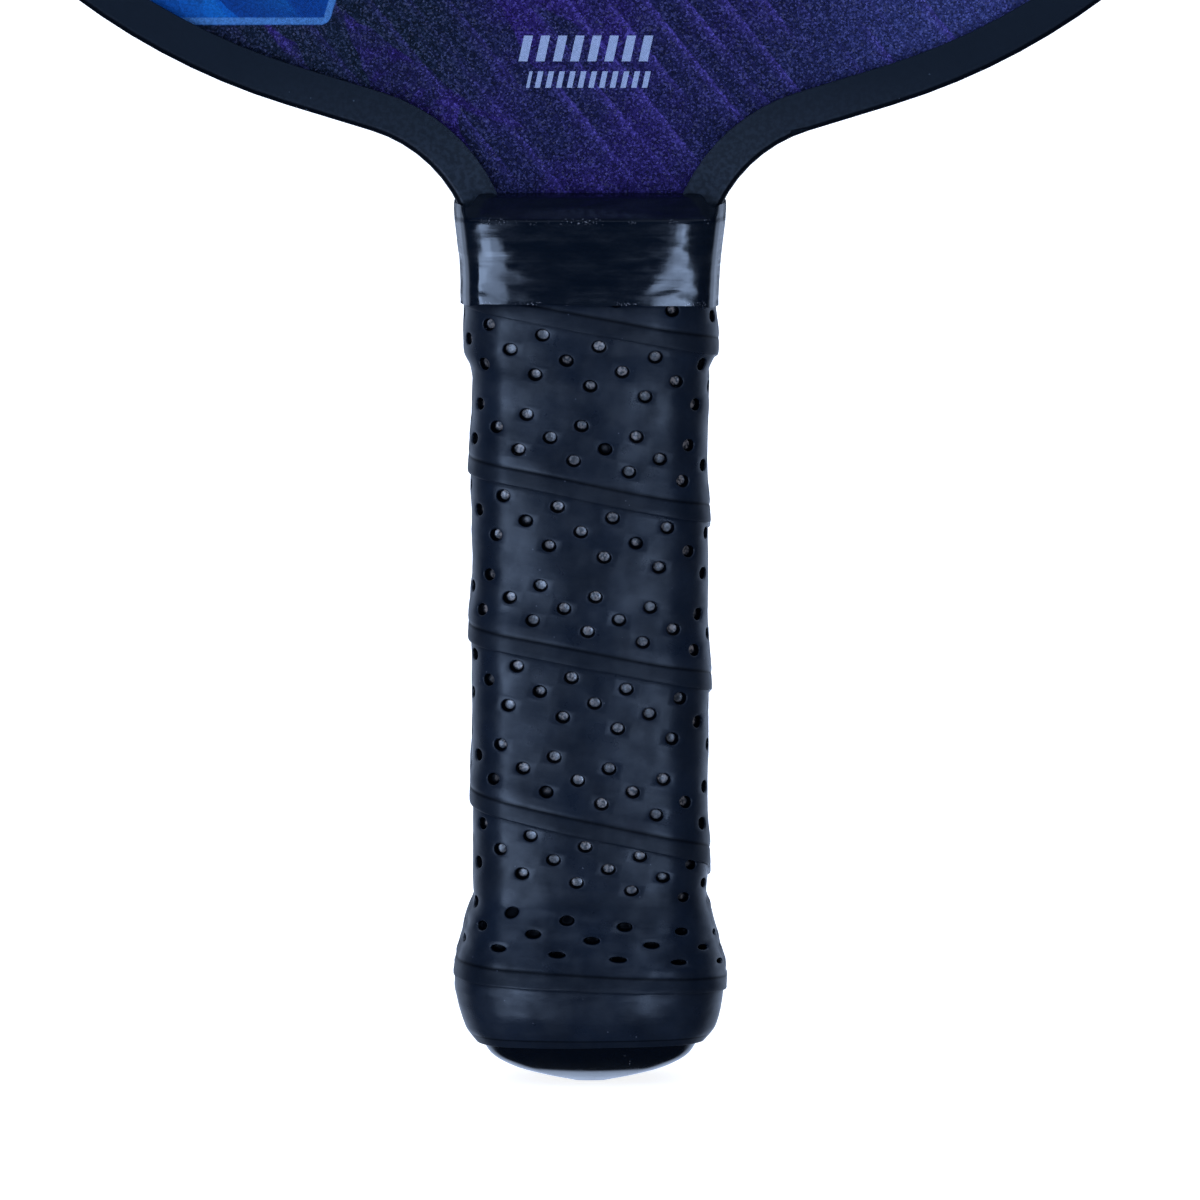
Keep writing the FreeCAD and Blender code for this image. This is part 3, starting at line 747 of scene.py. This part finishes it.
class Nodes:
    """Builds a node tree from small steps. Each step gives back an output to use in the next."""

    def __init__(self, tree):
        self.tree = tree
        tree.nodes.clear()

    def node(self, kind, inputs=None, **settings):
        """Adds a node. A socket among the inputs is linked, and anything else is set."""
        made = self.tree.nodes.new(kind)
        for key, value in settings.items():
            setattr(made, key, value)
        for key, value in (inputs or {}).items():
            self.put(made.inputs[key], value)
        return made

    def put(self, socket, value):
        """Links or sets an input."""
        if isinstance(value, bpy.types.NodeSocket):
            self.tree.links.new(value, socket)
        else:
            socket.default_value = value

    def math(self, operation, a, b=0.0):
        return self.node("ShaderNodeMath", {0: a, 1: b}, operation=operation).outputs[0]

    def plus(self, a, b):
        return self.math("ADD", a, b)

    def minus(self, a, b):
        return self.math("SUBTRACT", a, b)

    def times(self, a, b):
        return self.math("MULTIPLY", a, b)

    def over(self, a, b):
        return self.math("DIVIDE", a, b)

    def larger(self, a, b):
        return self.math("MAXIMUM", a, b)

    def smaller(self, a, b):
        return self.math("MINIMUM", a, b)

    def above(self, a, b):
        """1 where a is above b, and else 0."""
        return self.math("GREATER_THAN", a, b)

    def below(self, a, b):
        """1 where a is below b, and else 0."""
        return self.math("LESS_THAN", a, b)

    def power(self, a, b):
        return self.math("POWER", a, b)

    def absolute(self, a):
        return self.math("ABSOLUTE", a)

    def between(self, value, low, high, to_low=0.0, to_high=1.0):
        """Maps a value smoothly from one range to another, held at its ends."""
        made = self.node("ShaderNodeMapRange", {"Value": value, "From Min": low, "From Max": high,
                                                "To Min": to_low, "To Max": to_high})
        made.interpolation_type = "SMOOTHSTEP"
        return made.outputs["Result"]

    def axes(self, vector):
        """The x, y and z of a vector."""
        return self.node("ShaderNodeSeparateXYZ", {0: vector}).outputs

    def mix(self, share, a, b):
        """Colour a, with a share of colour b."""
        made = self.node("ShaderNodeMix", data_type="RGBA")
        sockets = [socket for socket in made.inputs if socket.type == "RGBA"]
        self.put(made.inputs[0], share)
        for socket, value in zip(sockets, (a, b)):
            self.put(socket, value if isinstance(value, bpy.types.NodeSocket) else (*value, 1.0))
        return next(socket for socket in made.outputs if socket.type == "RGBA")


class Material(Nodes):
    """One node material. Its texture coordinates are object coordinates in metres."""

    def __init__(self, name):
        self.material = bpy.data.materials.new(name)
        self.material.use_nodes = True
        super().__init__(self.material.node_tree)
        self.place = self.node("ShaderNodeTexCoord").outputs["Object"]
        self.shader = self.node("ShaderNodeBsdfPrincipled")
        self.result = self.node("ShaderNodeOutputMaterial").inputs[0]
        self.put(self.result, self.shader.outputs[0])

    def stretched(self, x, y, z):
        """Object coordinates, scaled on each axis."""
        made = self.node("ShaderNodeMapping", {"Vector": self.place, "Scale": (x, y, z)})
        return made.outputs[0]

    def noise(self, size_mm, detail=2.0, place=None, roughness=0.5):
        """Noise whose features have a size in millimetres."""
        inputs = {"Vector": place or self.place, "Scale": 1 / (size_mm * MM), "Detail": detail,
                  "Roughness": roughness}
        return self.node("ShaderNodeTexNoise", inputs).outputs["Fac"]

    def cells(self, size_mm, output="Color", place=None):
        """Random cells with a size in millimetres."""
        inputs = {"Vector": place or self.place, "Scale": 1 / (size_mm * MM)}
        return self.node("ShaderNodeTexVoronoi", inputs).outputs[output]

    def chances(self, colour):
        """Random numbers of a cell, from its colour."""
        return self.node("ShaderNodeSeparateColor", {0: colour}).outputs

    def dust(self, size_mm, rarity, radius):
        """Specks in the cells whose chance is above a rarity. The radius is a share of a cell."""
        chance = self.chances(self.cells(size_mm))[0]
        return self.times(self.above(chance, rarity), self.below(self.cells(size_mm, "Distance"), radius))

    def bump(self, height, depth_mm, strength, normal=None):
        """Surface direction over a relief, which may lie on another."""
        inputs = {"Height": height, "Distance": depth_mm * MM, "Strength": strength}
        if normal:
            inputs["Normal"] = normal
        return self.node("ShaderNodeBump", inputs).outputs[0]

    def attribute(self, name):
        """A value that the mesh carries in each of its points."""
        return self.node("ShaderNodeAttribute", attribute_name=name).outputs["Fac"]

    def finish(self, **inputs):
        """Sets the shader's inputs by name, with _ for a space."""
        self.put(self.shader.inputs["Specular Tint"], REFLECTION_TINT)
        for key, value in inputs.items():
            self.put(self.shader.inputs[key.replace("_", " ")], value)
        return self.material


def grip_material():
    """Satin synthetic leather with fine grain, glossy pits and dull skived borders, with shade painted along
    the border's crease and on the pits' walls and dark floors.
    """
    m = Material("grip_leather")
    pit, border, crease = m.attribute("pit"), m.attribute("border"), m.attribute("crease")
    mottle = m.noise(7.0, 3)
    colour = m.mix(m.between(mottle, 0.3, 0.7), (0.0018, 0.0036, 0.0076), (0.0030, 0.0056, 0.0112))
    colour = m.mix(m.times(border, 0.4), colour, (0.0016, 0.0030, 0.0058))
    # Painted shade: the colour darkens along the crease above the border.
    colour = m.mix(m.times(crease, 0.8), colour, (0.0004, 0.0008, 0.0016))
    dish = m.between(pit, 0.85, 0.95)
    # Painted shade: the pits' walls are coloured near black.
    wall_shade = m.times(m.between(pit, 0.05, 0.2), m.minus(1.0, dish))
    colour = m.mix(wall_shade, colour, (0.0002, 0.0005, 0.0012))
    foam = m.mix(m.between(m.noise(0.36, 3), 0.42, 0.58), (0.006, 0.007, 0.009), (0.150, 0.130, 0.124))
    foam = m.mix(m.between(m.noise(3.3, 2), 0.42, 0.60, 0.0, 0.75), foam, (0.012, 0.012, 0.014))
    colour = m.mix(m.times(dish, 0.9), colour, foam)
    colour = m.mix(m.times(m.dust(0.5, 0.992, 0.2), 0.4), colour, (0.07, 0.08, 0.11))
    gloss = m.plus(m.times(dish, 0.65), 0.19)
    gloss = m.minus(gloss, m.times(border, 0.04))
    gloss = m.times(gloss, m.minus(1.0, m.times(wall_shade, 0.85)))
    gloss = m.times(gloss, m.minus(1.0, m.times(crease, 0.7)))
    gloss = m.times(gloss, m.between(m.noise(3.6, 3), 0.3, 0.7, 0.72, 1.30))
    rough = m.between(m.noise(3.2, 4), 0.3, 0.7, 0.27, 0.38)
    rough = m.plus(rough, m.times(border, 0.06))
    rough = m.plus(rough, m.times(dish, 0.02))
    grain = m.plus(m.times(m.cells(0.26, "Distance"), 0.6), m.noise(0.16, 2))
    pull = m.noise(1.5, 3, m.stretched(0.5, 0.5, 1.6))
    fine_specks = m.times(m.noise(0.3, 3), dish)
    normal = m.bump(grain, 0.010, 0.4, m.bump(pull, 0.06, 0.5, m.bump(fine_specks, 0.08, 0.6)))
    return m.finish(Base_Color=colour, Roughness=rough, Normal=normal, Specular_IOR_Level=gloss)


def tape_material():
    """Glossy stretched vinyl with fine streaks along its winding, a hazy skin, and pale specks painted along
    its shoulder and lower edge as glints.
    """
    m = Material("finishing_tape_vinyl")
    streak = m.noise(0.5, 4, m.stretched(0.06, 0.06, 1.0))
    haze = m.noise(2.4, 4, m.stretched(0.35, 0.35, 1.0), 0.65)
    colour = m.mix(haze, (0.0006, 0.0016, 0.0036), (0.0014, 0.0030, 0.0062))
    z = m.times(m.axes(m.place)[2], 1 / MM)
    from_shoulder = m.absolute(m.minus(z, TAPE_SHOULDER_Z))
    from_edge = m.absolute(m.minus(z, TAPE_LOW + 0.2))
    near = m.between(m.smaller(from_shoulder, from_edge), 0.6, 0.15)
    # Painted glints: pale specks along the shoulder's fold and the lower edge.
    fine_specks = m.times(m.between(m.noise(0.22, 2), 0.60, 0.66), m.between(m.noise(2.6, 2), 0.48, 0.6))
    colour = m.mix(m.times(m.times(fine_specks, near), 0.6), colour, (0.16, 0.17, 0.20))
    rough = m.between(haze, 0.35, 0.68, 0.10, 0.21)
    rough = m.plus(rough, m.between(streak, 0.4, 0.7, 0.0, 0.05))
    fine = m.noise(0.22, 2, m.stretched(0.3, 0.3, 1.0))
    normal = m.bump(fine, 0.008, 0.4, m.bump(streak, 0.034, 0.6))
    gloss = m.between(from_shoulder, 0.15, 0.5, 0.12, 0.53)
    return m.finish(Base_Color=colour, Roughness=rough, Normal=normal, Specular_IOR_Level=gloss)


def cap_material():
    """Polished black moulded plastic with light scuffs near its end."""
    m = Material("butt_cap_plastic")
    scuff = m.between(m.noise(0.7, 5, m.stretched(1.0, 1.0, 0.4), 0.7), 0.55, 0.75)
    wear = m.times(scuff, m.between(m.axes(m.place)[2], 0.006, 0.0))
    colour = m.mix(m.times(wear, 0.4), (0.0003, 0.0009, 0.0022), (0.008, 0.010, 0.014))
    colour = m.mix(m.times(m.dust(0.7, 0.955, 0.17), 0.7), colour, (0.20, 0.21, 0.24))
    rough = m.plus(m.between(m.noise(2.0, 3), 0.3, 0.7, 0.09, 0.15), m.times(wear, 0.25))
    normal = m.bump(m.noise(0.9, 3), 0.012, 0.4)
    return m.finish(Base_Color=colour, Roughness=rough, Normal=normal, IOR=1.5)


def guard_material():
    """Matt moulded rubber with a fine skin, faint drag marks, shade painted on its bevels, and a rubbed,
    glossier neck with a painted mottled highlight.
    """
    m = Material("edge_guard_rubber")
    neck = m.between(m.axes(m.place)[2], 0.146, 0.126)
    facing = m.absolute(m.axes(m.node("ShaderNodeNewGeometry").outputs["True Normal"])[1])
    # Painted shade: faces that turn away from the front, the bevels, are coloured near black by their
    # facing.
    bevel_shade = m.times(m.between(facing, 0.985, 0.90), m.between(facing, 0.12, 0.40))
    mottle = m.noise(5.0, 4)
    colour = m.mix(mottle, (0.0010, 0.0033, 0.0072), (0.0017, 0.0046, 0.0098))
    # Painted highlight: the neck is lightened in mottled patches.
    neck_highlight = m.times(neck, m.between(m.noise(0.7, 4), 0.40, 0.62))
    colour = m.mix(m.times(neck_highlight, 0.5), colour, (0.0100, 0.0170, 0.0290))
    colour = m.mix(m.times(bevel_shade, 0.9), colour, (0.0003, 0.0008, 0.0020))
    colour = m.mix(m.times(m.dust(0.6, 0.994, 0.2), 0.4), colour, (0.05, 0.07, 0.10))
    scuff = m.between(m.noise(0.5, 5, m.stretched(1.0, 1.0, 0.3), 0.7), 0.62, 0.78)
    rough = m.between(mottle, 0.3, 0.7, 0.50, 0.60)
    rough = m.minus(m.minus(rough, m.times(neck, 0.14)), m.times(scuff, 0.08))
    normal = m.bump(m.noise(0.18, 3), 0.012, 0.5, m.bump(m.noise(2.2, 2), 0.03, 0.4))
    gloss = m.plus(m.times(neck, 0.10), 0.08)
    gloss = m.times(gloss, m.minus(1.0, m.times(bevel_shade, 0.8)))
    return m.finish(Base_Color=colour, Roughness=rough, Normal=normal, Specular_IOR_Level=gloss)


# ---------------------------------------------------------------- print of the face

# Blue panel: its middle and half size in x and z, how far it leans by height, and its corners' radius.
PANEL_MIDDLE = (-63.5, 170.7)
PANEL_HALF = (33.3, 21.0)
PANEL_LEAN = 0.30
PANEL_RADIUS = 1.1
# Two rows of plain bars: heights, half width of the row, pitch and the share of the pitch that is bar.
BAR_ROWS = ((144.6, 148.2, 9.6, 2.4, 0.52), (140.9, 143.2, 8.7, 1.5, 0.5))
BAR_LEAN = 0.22
# The lines of the print fall to the right. These are the shares of x and z in the distance across them.
LINE_X, LINE_Z = 0.78, 0.63
GLITTER_SIZE = 0.23
WEAVE_PITCH = 0.42


def rounded_panel(m, x, z):
    """Signed distance in millimetres to the edge of the blue panel."""
    dz = m.minus(z, PANEL_MIDDLE[1])
    dx = m.minus(m.minus(x, PANEL_MIDDLE[0]), m.times(dz, PANEL_LEAN))
    past_x = m.minus(m.absolute(dx), PANEL_HALF[0] - PANEL_RADIUS)
    past_z = m.minus(m.absolute(dz), PANEL_HALF[1] - PANEL_RADIUS)
    out_x, out_z = m.larger(past_x, 0.0), m.larger(past_z, 0.0)
    outside = m.math("SQRT", m.plus(m.times(out_x, out_x), m.times(out_z, out_z)))
    inside = m.smaller(m.larger(past_x, past_z), 0.0)
    return m.minus(m.plus(outside, inside), PANEL_RADIUS)


def slant(m, x, z):
    """Distances across and along the print's lines."""
    across = m.plus(m.times(x, LINE_X), m.times(z, LINE_Z))
    along = m.minus(m.times(z, LINE_X), m.times(x, LINE_Z))
    return across, along


def slanted_lines(m, x, z, pitch, sharpness, fade_mm, seed):
    """Lines that fall to the right. Each has a bright right edge and fades to its left."""
    across, along = slant(m, x, z)
    wander = m.times(m.noise(0.9, 2), 0.5)
    place = m.over(m.plus(across, wander), pitch)
    part = m.math("FRACT", place)
    line = m.times(m.power(part, sharpness), m.between(part, 1.0, 0.93))
    own = {0: m.times(m.math("FLOOR", place), 3.7), 1: seed, 2: m.over(along, fade_mm)}
    own = m.node("ShaderNodeCombineXYZ", own).outputs[0]
    length = m.node("ShaderNodeTexNoise", {"Vector": own, "Scale": 1.0, "Detail": 1.0}).outputs["Fac"]
    return m.times(line, m.between(length, 0.40, 0.60))


def shards(m, x, z, width, length, amount, seed):
    """Angular patches drawn out along the slanted lines. The amount is the share of them that shows."""
    across, along = slant(m, x, z)
    wobble = m.times(m.noise(6.0, 2), 0.35)
    place = {0: m.plus(m.over(across, width), wobble), 1: m.over(along, length), 2: seed}
    place = m.node("ShaderNodeCombineXYZ", place).outputs[0]
    cell = m.node("ShaderNodeTexVoronoi", {"Vector": place, "Scale": 1.0, "Smoothness": 0.12},
                  feature="SMOOTH_F1").outputs["Color"]
    return m.between(m.chances(cell)[0], 1 - amount - 0.06, 1 - amount + 0.06)


def bar_row(m, x, z, low, high, half_width, pitch, share):
    """Row of plain slanted bars between two heights."""
    centred = m.minus(m.minus(x, m.times(z, BAR_LEAN)), -BAR_LEAN * (low + high) / 2)
    bar = m.below(m.math("FRACT", m.over(centred, pitch)), share)
    level = m.times(m.above(z, low), m.below(z, high))
    wide = m.below(m.absolute(centred), half_width)
    return m.times(bar, m.times(level, wide))


def scaled(m, colour, factor):
    """A colour times a number."""
    return m.node("ShaderNodeVectorMath", {0: colour, "Scale": factor}, operation="SCALE").outputs[0]


def print_colour(m, x, z, flat):
    """Navy on the left to blue on the right, with violet patches and smoke under slanted lines."""
    navy, middle, right = (0.0010, 0.0046, 0.0140), (0.0032, 0.0042, 0.0290), (0.0165, 0.0225, 0.0880)
    violet, head = (0.0095, 0.0030, 0.0620), (0.0070, 0.0190, 0.0900)
    line_colour, fine_colour = (0.0330, 0.0230, 0.1500), (0.0190, 0.0150, 0.0950)
    colour = m.mix(m.between(x, -26.0, -8.0), navy, middle)
    patches = m.times(shards(m, x, z, 9.0, 20.0, 0.42, 3.0), m.between(x, 12.0, -4.0))
    smoke = m.between(m.noise(7.0, 4, flat, 0.6), 0.40, 0.62)
    patches = m.times(patches, m.between(smoke, 0.0, 1.0, 0.35, 1.0))
    colour = m.mix(m.times(patches, 0.85), colour, violet)
    veil = m.times(m.between(m.noise(15.0, 3, flat), 0.46, 0.62), m.between(x, -24.0, -10.0))
    colour = m.mix(m.times(veil, m.between(x, 40.0, 0.0, 0.15, 0.6)), colour, violet)
    colour = m.mix(m.between(x, 18.0, 64.0), colour, right)
    colour = m.mix(m.between(z, 190.0, 330.0, 0.0, 0.6), colour, head)
    strength = m.between(x, -30.0, 10.0, 0.3, 1.0)
    lines = slanted_lines(m, x, z, 4.3, 5.0, 30.0, 2.0)
    colour = m.mix(m.times(lines, strength), colour, line_colour)
    fine = slanted_lines(m, x, z, 2.6, 3.0, 18.0, 7.0)
    return m.mix(m.times(fine, m.times(strength, 0.35)), colour, fine_colour)


def glittered(m, colour, level, painted_glint):
    """A colour seen through glitter, by the brightness of its flakes, with painted glints on the brightest
    flakes and the few that spark.
    """
    glitter = m.plus(m.times(level, 0.95), 0.30)
    glitter = m.plus(glitter, m.times(m.power(level, 7.0), 1.0))
    colour = scaled(m, colour, glitter)
    # Painted glints: the brightest flakes and the sparking ones are mixed towards a pale colour.
    colour = m.mix(m.times(m.power(level, 6.0), 0.22), colour, (0.0850, 0.0850, 0.1500))
    return m.mix(m.times(painted_glint, 0.22), colour, (0.0850, 0.0850, 0.1600))


def panel_colour(m, x, z, panel, level):
    """Blue with darker bands and a pale rim, by the distance to the panel's edge."""
    bands = shards(m, x, z, 4.2, 16.0, 0.38, 8.0)
    blue = m.mix(bands, (0.0005, 0.0430, 0.1950), (0.0003, 0.0190, 0.1050))
    glow = slanted_lines(m, x, z, 8.0, 2.5, 30.0, 4.0)
    blue = m.mix(m.times(glow, 0.6), blue, (0.0050, 0.1000, 0.2900))
    rim = m.between(m.absolute(m.plus(panel, 0.5)), 0.60, 0.40)
    blue = m.mix(m.times(rim, 0.9), blue, (0.0300, 0.0950, 0.2350))
    return scaled(m, blue, m.between(level, 0.0, 1.0, 0.78, 1.22))


def face_material():
    """Printed composite face: glitter and weave over slanted lines, soft violet fields and a blue panel."""
    m = Material("printed_face")
    axes = m.axes(m.place)
    x, z = m.times(axes[0], 1 / MM), m.times(axes[2], 1 / MM)
    flat = m.stretched(1.0, 0.0, 1.0)
    chances = m.chances(m.cells(GLITTER_SIZE, place=flat))
    level, painted_glint = chances[0], m.between(chances[1], 0.90, 1.0)
    colour = glittered(m, print_colour(m, x, z, flat), level, painted_glint)
    panel = rounded_panel(m, x, z)
    colour = m.mix(m.between(panel, 0.15, -0.15), colour, panel_colour(m, x, z, panel, level))
    bars = m.plus(*(bar_row(m, x, z, *row) for row in BAR_ROWS))
    paint = m.mix(level, (0.1500, 0.1900, 0.2900), (0.1900, 0.2300, 0.3400))
    colour = m.mix(m.times(bars, 0.9), colour, paint)
    turn = 2 * math.pi / WEAVE_PITCH
    weave = m.times(m.math("SINE", m.times(x, turn)), m.math("SINE", m.times(z, turn)))
    normal = m.bump(m.plus(weave, m.noise(0.2, 2, flat)), 0.020, 0.5)
    rough = m.minus(m.between(m.noise(9.0, 3), 0.3, 0.7, 0.48, 0.58), m.times(painted_glint, 0.2))
    return m.finish(Base_Color=colour, Roughness=rough, Normal=normal, Specular_IOR_Level=0.05)


# ---------------------------------------------------------------- parts that keep their CAD shape

EVEN = (1.0, 1.0, 1.0)
# Stocks by name: nodes, light and dark tone, grain size, its stretch, roughness, relief and metal.
STOCKS = {
    "core_polypropylene": (("honeycomb_core",), (0.78, 0.80, 0.79), (0.58, 0.61, 0.60),
                           1.6, EVEN, 0.42, 0.03, 0.0),
    "scrim_veil": (("front_scrim", "back_scrim"), (0.82, 0.82, 0.79), (0.55, 0.55, 0.52),
                   0.5, (1.0, 1.0, 0.25), 0.85, 0.05, 0.0),
    "bonding_film": (("front_bonding_film", "back_bonding_film"), (0.62, 0.52, 0.28), (0.44, 0.35, 0.16),
                     3.0, EVEN, 0.25, 0.01, 0.0),
    "pallet_wood": (("front_pallet", "back_pallet"), (0.62, 0.44, 0.26), (0.36, 0.22, 0.11),
                    1.2, (1.0, 1.0, 0.08), 0.6, 0.04, 0.0),
    "adhesive_tape": (("front_pallet_tape", "back_pallet_tape", "edge_guard_tape", "grip_adhesive_strip"),
                      (0.72, 0.69, 0.56), (0.52, 0.48, 0.36), 0.8, EVEN, 0.35, 0.02, 0.0),
    "staple_steel": (("butt_cap_staples",), (0.66, 0.67, 0.69), (0.40, 0.41, 0.43),
                     0.15, (0.1, 1.0, 1.0), 0.3, 0.01, 1.0),
}


def stock_material(name, light, dark, size, stretch, roughness, depth, metallic):
    """Plain stock of a hidden part: two tones, a grain that may be stretched, and its own relief."""
    m = Material(name)
    place = m.stretched(*stretch)
    grain = m.noise(size, 5, place, 0.6)
    flecks = m.cells(size * 0.6, "Distance", place)
    colour = m.mix(m.between(grain, 0.3, 0.7), dark, light)
    colour = m.mix(m.times(flecks, 0.25), colour, dark)
    rough = m.between(grain, 0.25, 0.75, roughness - 0.07, roughness + 0.07)
    normal = m.bump(m.plus(grain, m.times(flecks, 0.4)), depth, 0.6)
    return m.finish(Base_Color=colour, Roughness=rough, Normal=normal, Metallic=metallic)


def dress(nodes, material):
    """Gives CAD nodes a material."""
    for name in nodes:
        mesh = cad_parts[name].data
        mesh.materials.clear()
        mesh.materials.append(material)


def dress_cad_parts():
    """Materials of the parts that keep their CAD shape."""
    dress(("front_face_skin", "back_face_skin"), face_material())
    dress(("edge_guard",), guard_material())
    for name, (nodes, *looks) in STOCKS.items():
        dress(nodes, stock_material(name, *looks))


def place_piece(piece, material, slot, *nodes):
    """Gives a piece its material, fixes it to the paddle and lets it stand for CAD nodes."""
    piece.data.materials.append(material)
    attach(piece, "root")
    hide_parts(*nodes)


# ---------------------------------------------------------------- studio, in metres

CAMERA_DISTANCE = 1.5
CAMERA_HEIGHT = 0.23
VIEW_CENTRE = Vector((0.0014, 0.0, 0.0682))
VIEW_WIDTH = 0.1693
SENSOR_WIDTH_MM = 36.0
WHITE = (1.0, 1.0, 1.0)
LIGHT_TINT = (0.58, 0.72, 1.0)
REFLECTION_TINT = (0.84, 0.92, 1.0, 1.0)
FLOOR_GLOW = 0.86
FLOOR_HALF = 14.0
LIGHTS_MIDDLE = Vector((0.0, 0.0, 0.08))
# Soft lights: the azimuths and elevations that each fills as seen from the paddle, distance and radiance.
# Azimuth 0 is in front, and positive is to the right.
SOFT_LIGHTS = {
    "light_left": ((-18, -50), (-34, 5), 1.5, 5.3),
    "light_left_outer": ((-30, -50), (-34, 5), 1.45, 4.2),
    "light_right": ((14, 25), (-34, 5), 1.5, 5.8),
    "light_right_outer": ((19, 25), (-34, 5), 1.45, 4.2),
    "light_high_left": ((-14, -50), (14, 46), 1.5, 2.8),
    "light_high_right": ((11, 30), (14, 46), 1.5, 2.8),
    "light_low_left": ((-14, -42), (-36, -20), 1.5, 2.4),
}


def floor_material():
    """Plain pale floor. Reflections and shadow rays pass through it, so it does not veil the paddle."""
    m = Material("studio_floor")
    colour = m.mix(m.noise(60.0, 2), (0.82, 0.82, 0.82), (0.86, 0.86, 0.86))
    m.finish(Base_Color=colour, Roughness=0.8, Specular_IOR_Level=0.0,
             Emission_Color=(*WHITE, 1.0), Emission_Strength=FLOOR_GLOW)
    path = m.node("ShaderNodeLightPath")
    unseen = m.larger(path.outputs["Is Glossy Ray"], path.outputs["Is Shadow Ray"])
    clear = m.node("ShaderNodeBsdfTransparent").outputs[0]
    both = m.node("ShaderNodeMixShader", {0: unseen, 1: m.shader.outputs[0], 2: clear})
    m.put(m.result, both.outputs[0])
    return m.material


def studio_floor():
    """Large pale floor that the paddle stands on."""
    half = FLOOR_HALF
    mesh = bpy.data.meshes.new("studio_floor")
    mesh.from_pydata([(-half, -half, 0), (half, -half, 0), (half, half, 0), (-half, half, 0)], [],
                     [(0, 1, 2, 3)])
    floor = bpy.data.objects.new("studio_floor", mesh)
    bpy.context.scene.collection.objects.link(floor)
    mesh.materials.append(floor_material())


def soft_light(name, azimuths, elevations, distance, radiance):
    """Soft light that fills the angles between two azimuths and two elevations."""
    turn, rise = (math.radians(sum(pair) / 2) for pair in (azimuths, elevations))
    half_turn, half_rise = (math.radians(abs(pair[1] - pair[0]) / 2) for pair in (azimuths, elevations))
    width = 2 * distance * math.tan(half_turn) * math.cos(rise)
    height = 2 * distance * math.tan(half_rise)
    lamp = bpy.data.lights.new(name, "AREA")
    lamp.shape = "RECTANGLE"
    lamp.size, lamp.size_y = width, height
    lamp.energy = radiance * math.pi * width * height
    lamp.color = LIGHT_TINT
    light = bpy.data.objects.new(name, lamp)
    away = Vector((math.sin(turn) * math.cos(rise), -math.cos(turn) * math.cos(rise), math.sin(rise)))
    light.location = LIGHTS_MIDDLE + away * distance
    light.rotation_mode = "QUATERNION"
    light.rotation_quaternion = away.to_track_quat("Z", "Y")
    bpy.context.scene.collection.objects.link(light)


def studio_world():
    """White for the camera. Reflections see it bright past the sides, overhead and low behind, and dark in
    front and straight behind."""
    world = bpy.data.worlds.new("studio")
    bpy.context.scene.world = world
    world.use_nodes = True
    w = Nodes(world.node_tree)
    x, y, z = w.axes(w.node("ShaderNodeTexCoord").outputs["Generated"])
    azimuth = w.absolute(w.math("ARCTAN2", x, w.times(y, -1.0)))
    past_side = w.between(azimuth, math.radians(99), math.radians(130))
    before_back = w.between(azimuth, math.radians(166), math.radians(150))
    side = w.times(w.times(past_side, before_back), w.between(z, -0.7, -0.4))
    overhead = w.between(z, 0.5, 0.9)
    low = w.times(w.between(z, -0.74, -0.62), w.between(z, -0.05, -0.15))
    low = w.times(low, w.between(y, 0.5, 0.7))
    light = w.plus(w.times(side, 1.3), w.times(overhead, 1.5))
    light = w.plus(w.larger(light, w.times(low, 1.3)), 0.03)
    seen = w.node("ShaderNodeLightPath").outputs["Is Camera Ray"]
    colour = w.mix(seen, LIGHT_TINT, WHITE)
    backdrop = w.node("ShaderNodeBackground", {0: colour, 1: w.larger(light, seen)})
    w.node("ShaderNodeOutputWorld", {0: backdrop.outputs[0]})


def studio_camera():
    """Camera in front of the head, looking slightly down at the handle."""
    data = bpy.data.cameras.new("camera")
    camera = bpy.data.objects.new("camera", data)
    camera.location = (VIEW_CENTRE.x, -CAMERA_DISTANCE, CAMERA_HEIGHT)
    away = camera.location - VIEW_CENTRE
    camera.rotation_mode = "QUATERNION"
    camera.rotation_quaternion = away.to_track_quat("Z", "Y")
    data.sensor_width = SENSOR_WIDTH_MM
    data.lens = data.sensor_width * away.length / VIEW_WIDTH
    data.clip_start, data.clip_end = 0.05, 60.0
    bpy.context.scene.collection.objects.link(camera)
    bpy.context.scene.camera = camera


# ---------------------------------------------------------------- scene

dress_cad_parts()
place_piece(grip_strip(), grip_material(), "grip", "grip_wrap")
place_piece(finishing_tape(), tape_material(), "tape", "finishing_tape")
place_piece(butt_cap_shell(), cap_material(), "cap", "butt_cap")
studio_floor()
for light_name, light_place in SOFT_LIGHTS.items():
    soft_light(light_name, *light_place)
studio_world()
studio_camera()
bpy.context.scene.view_settings.view_transform = "Standard"
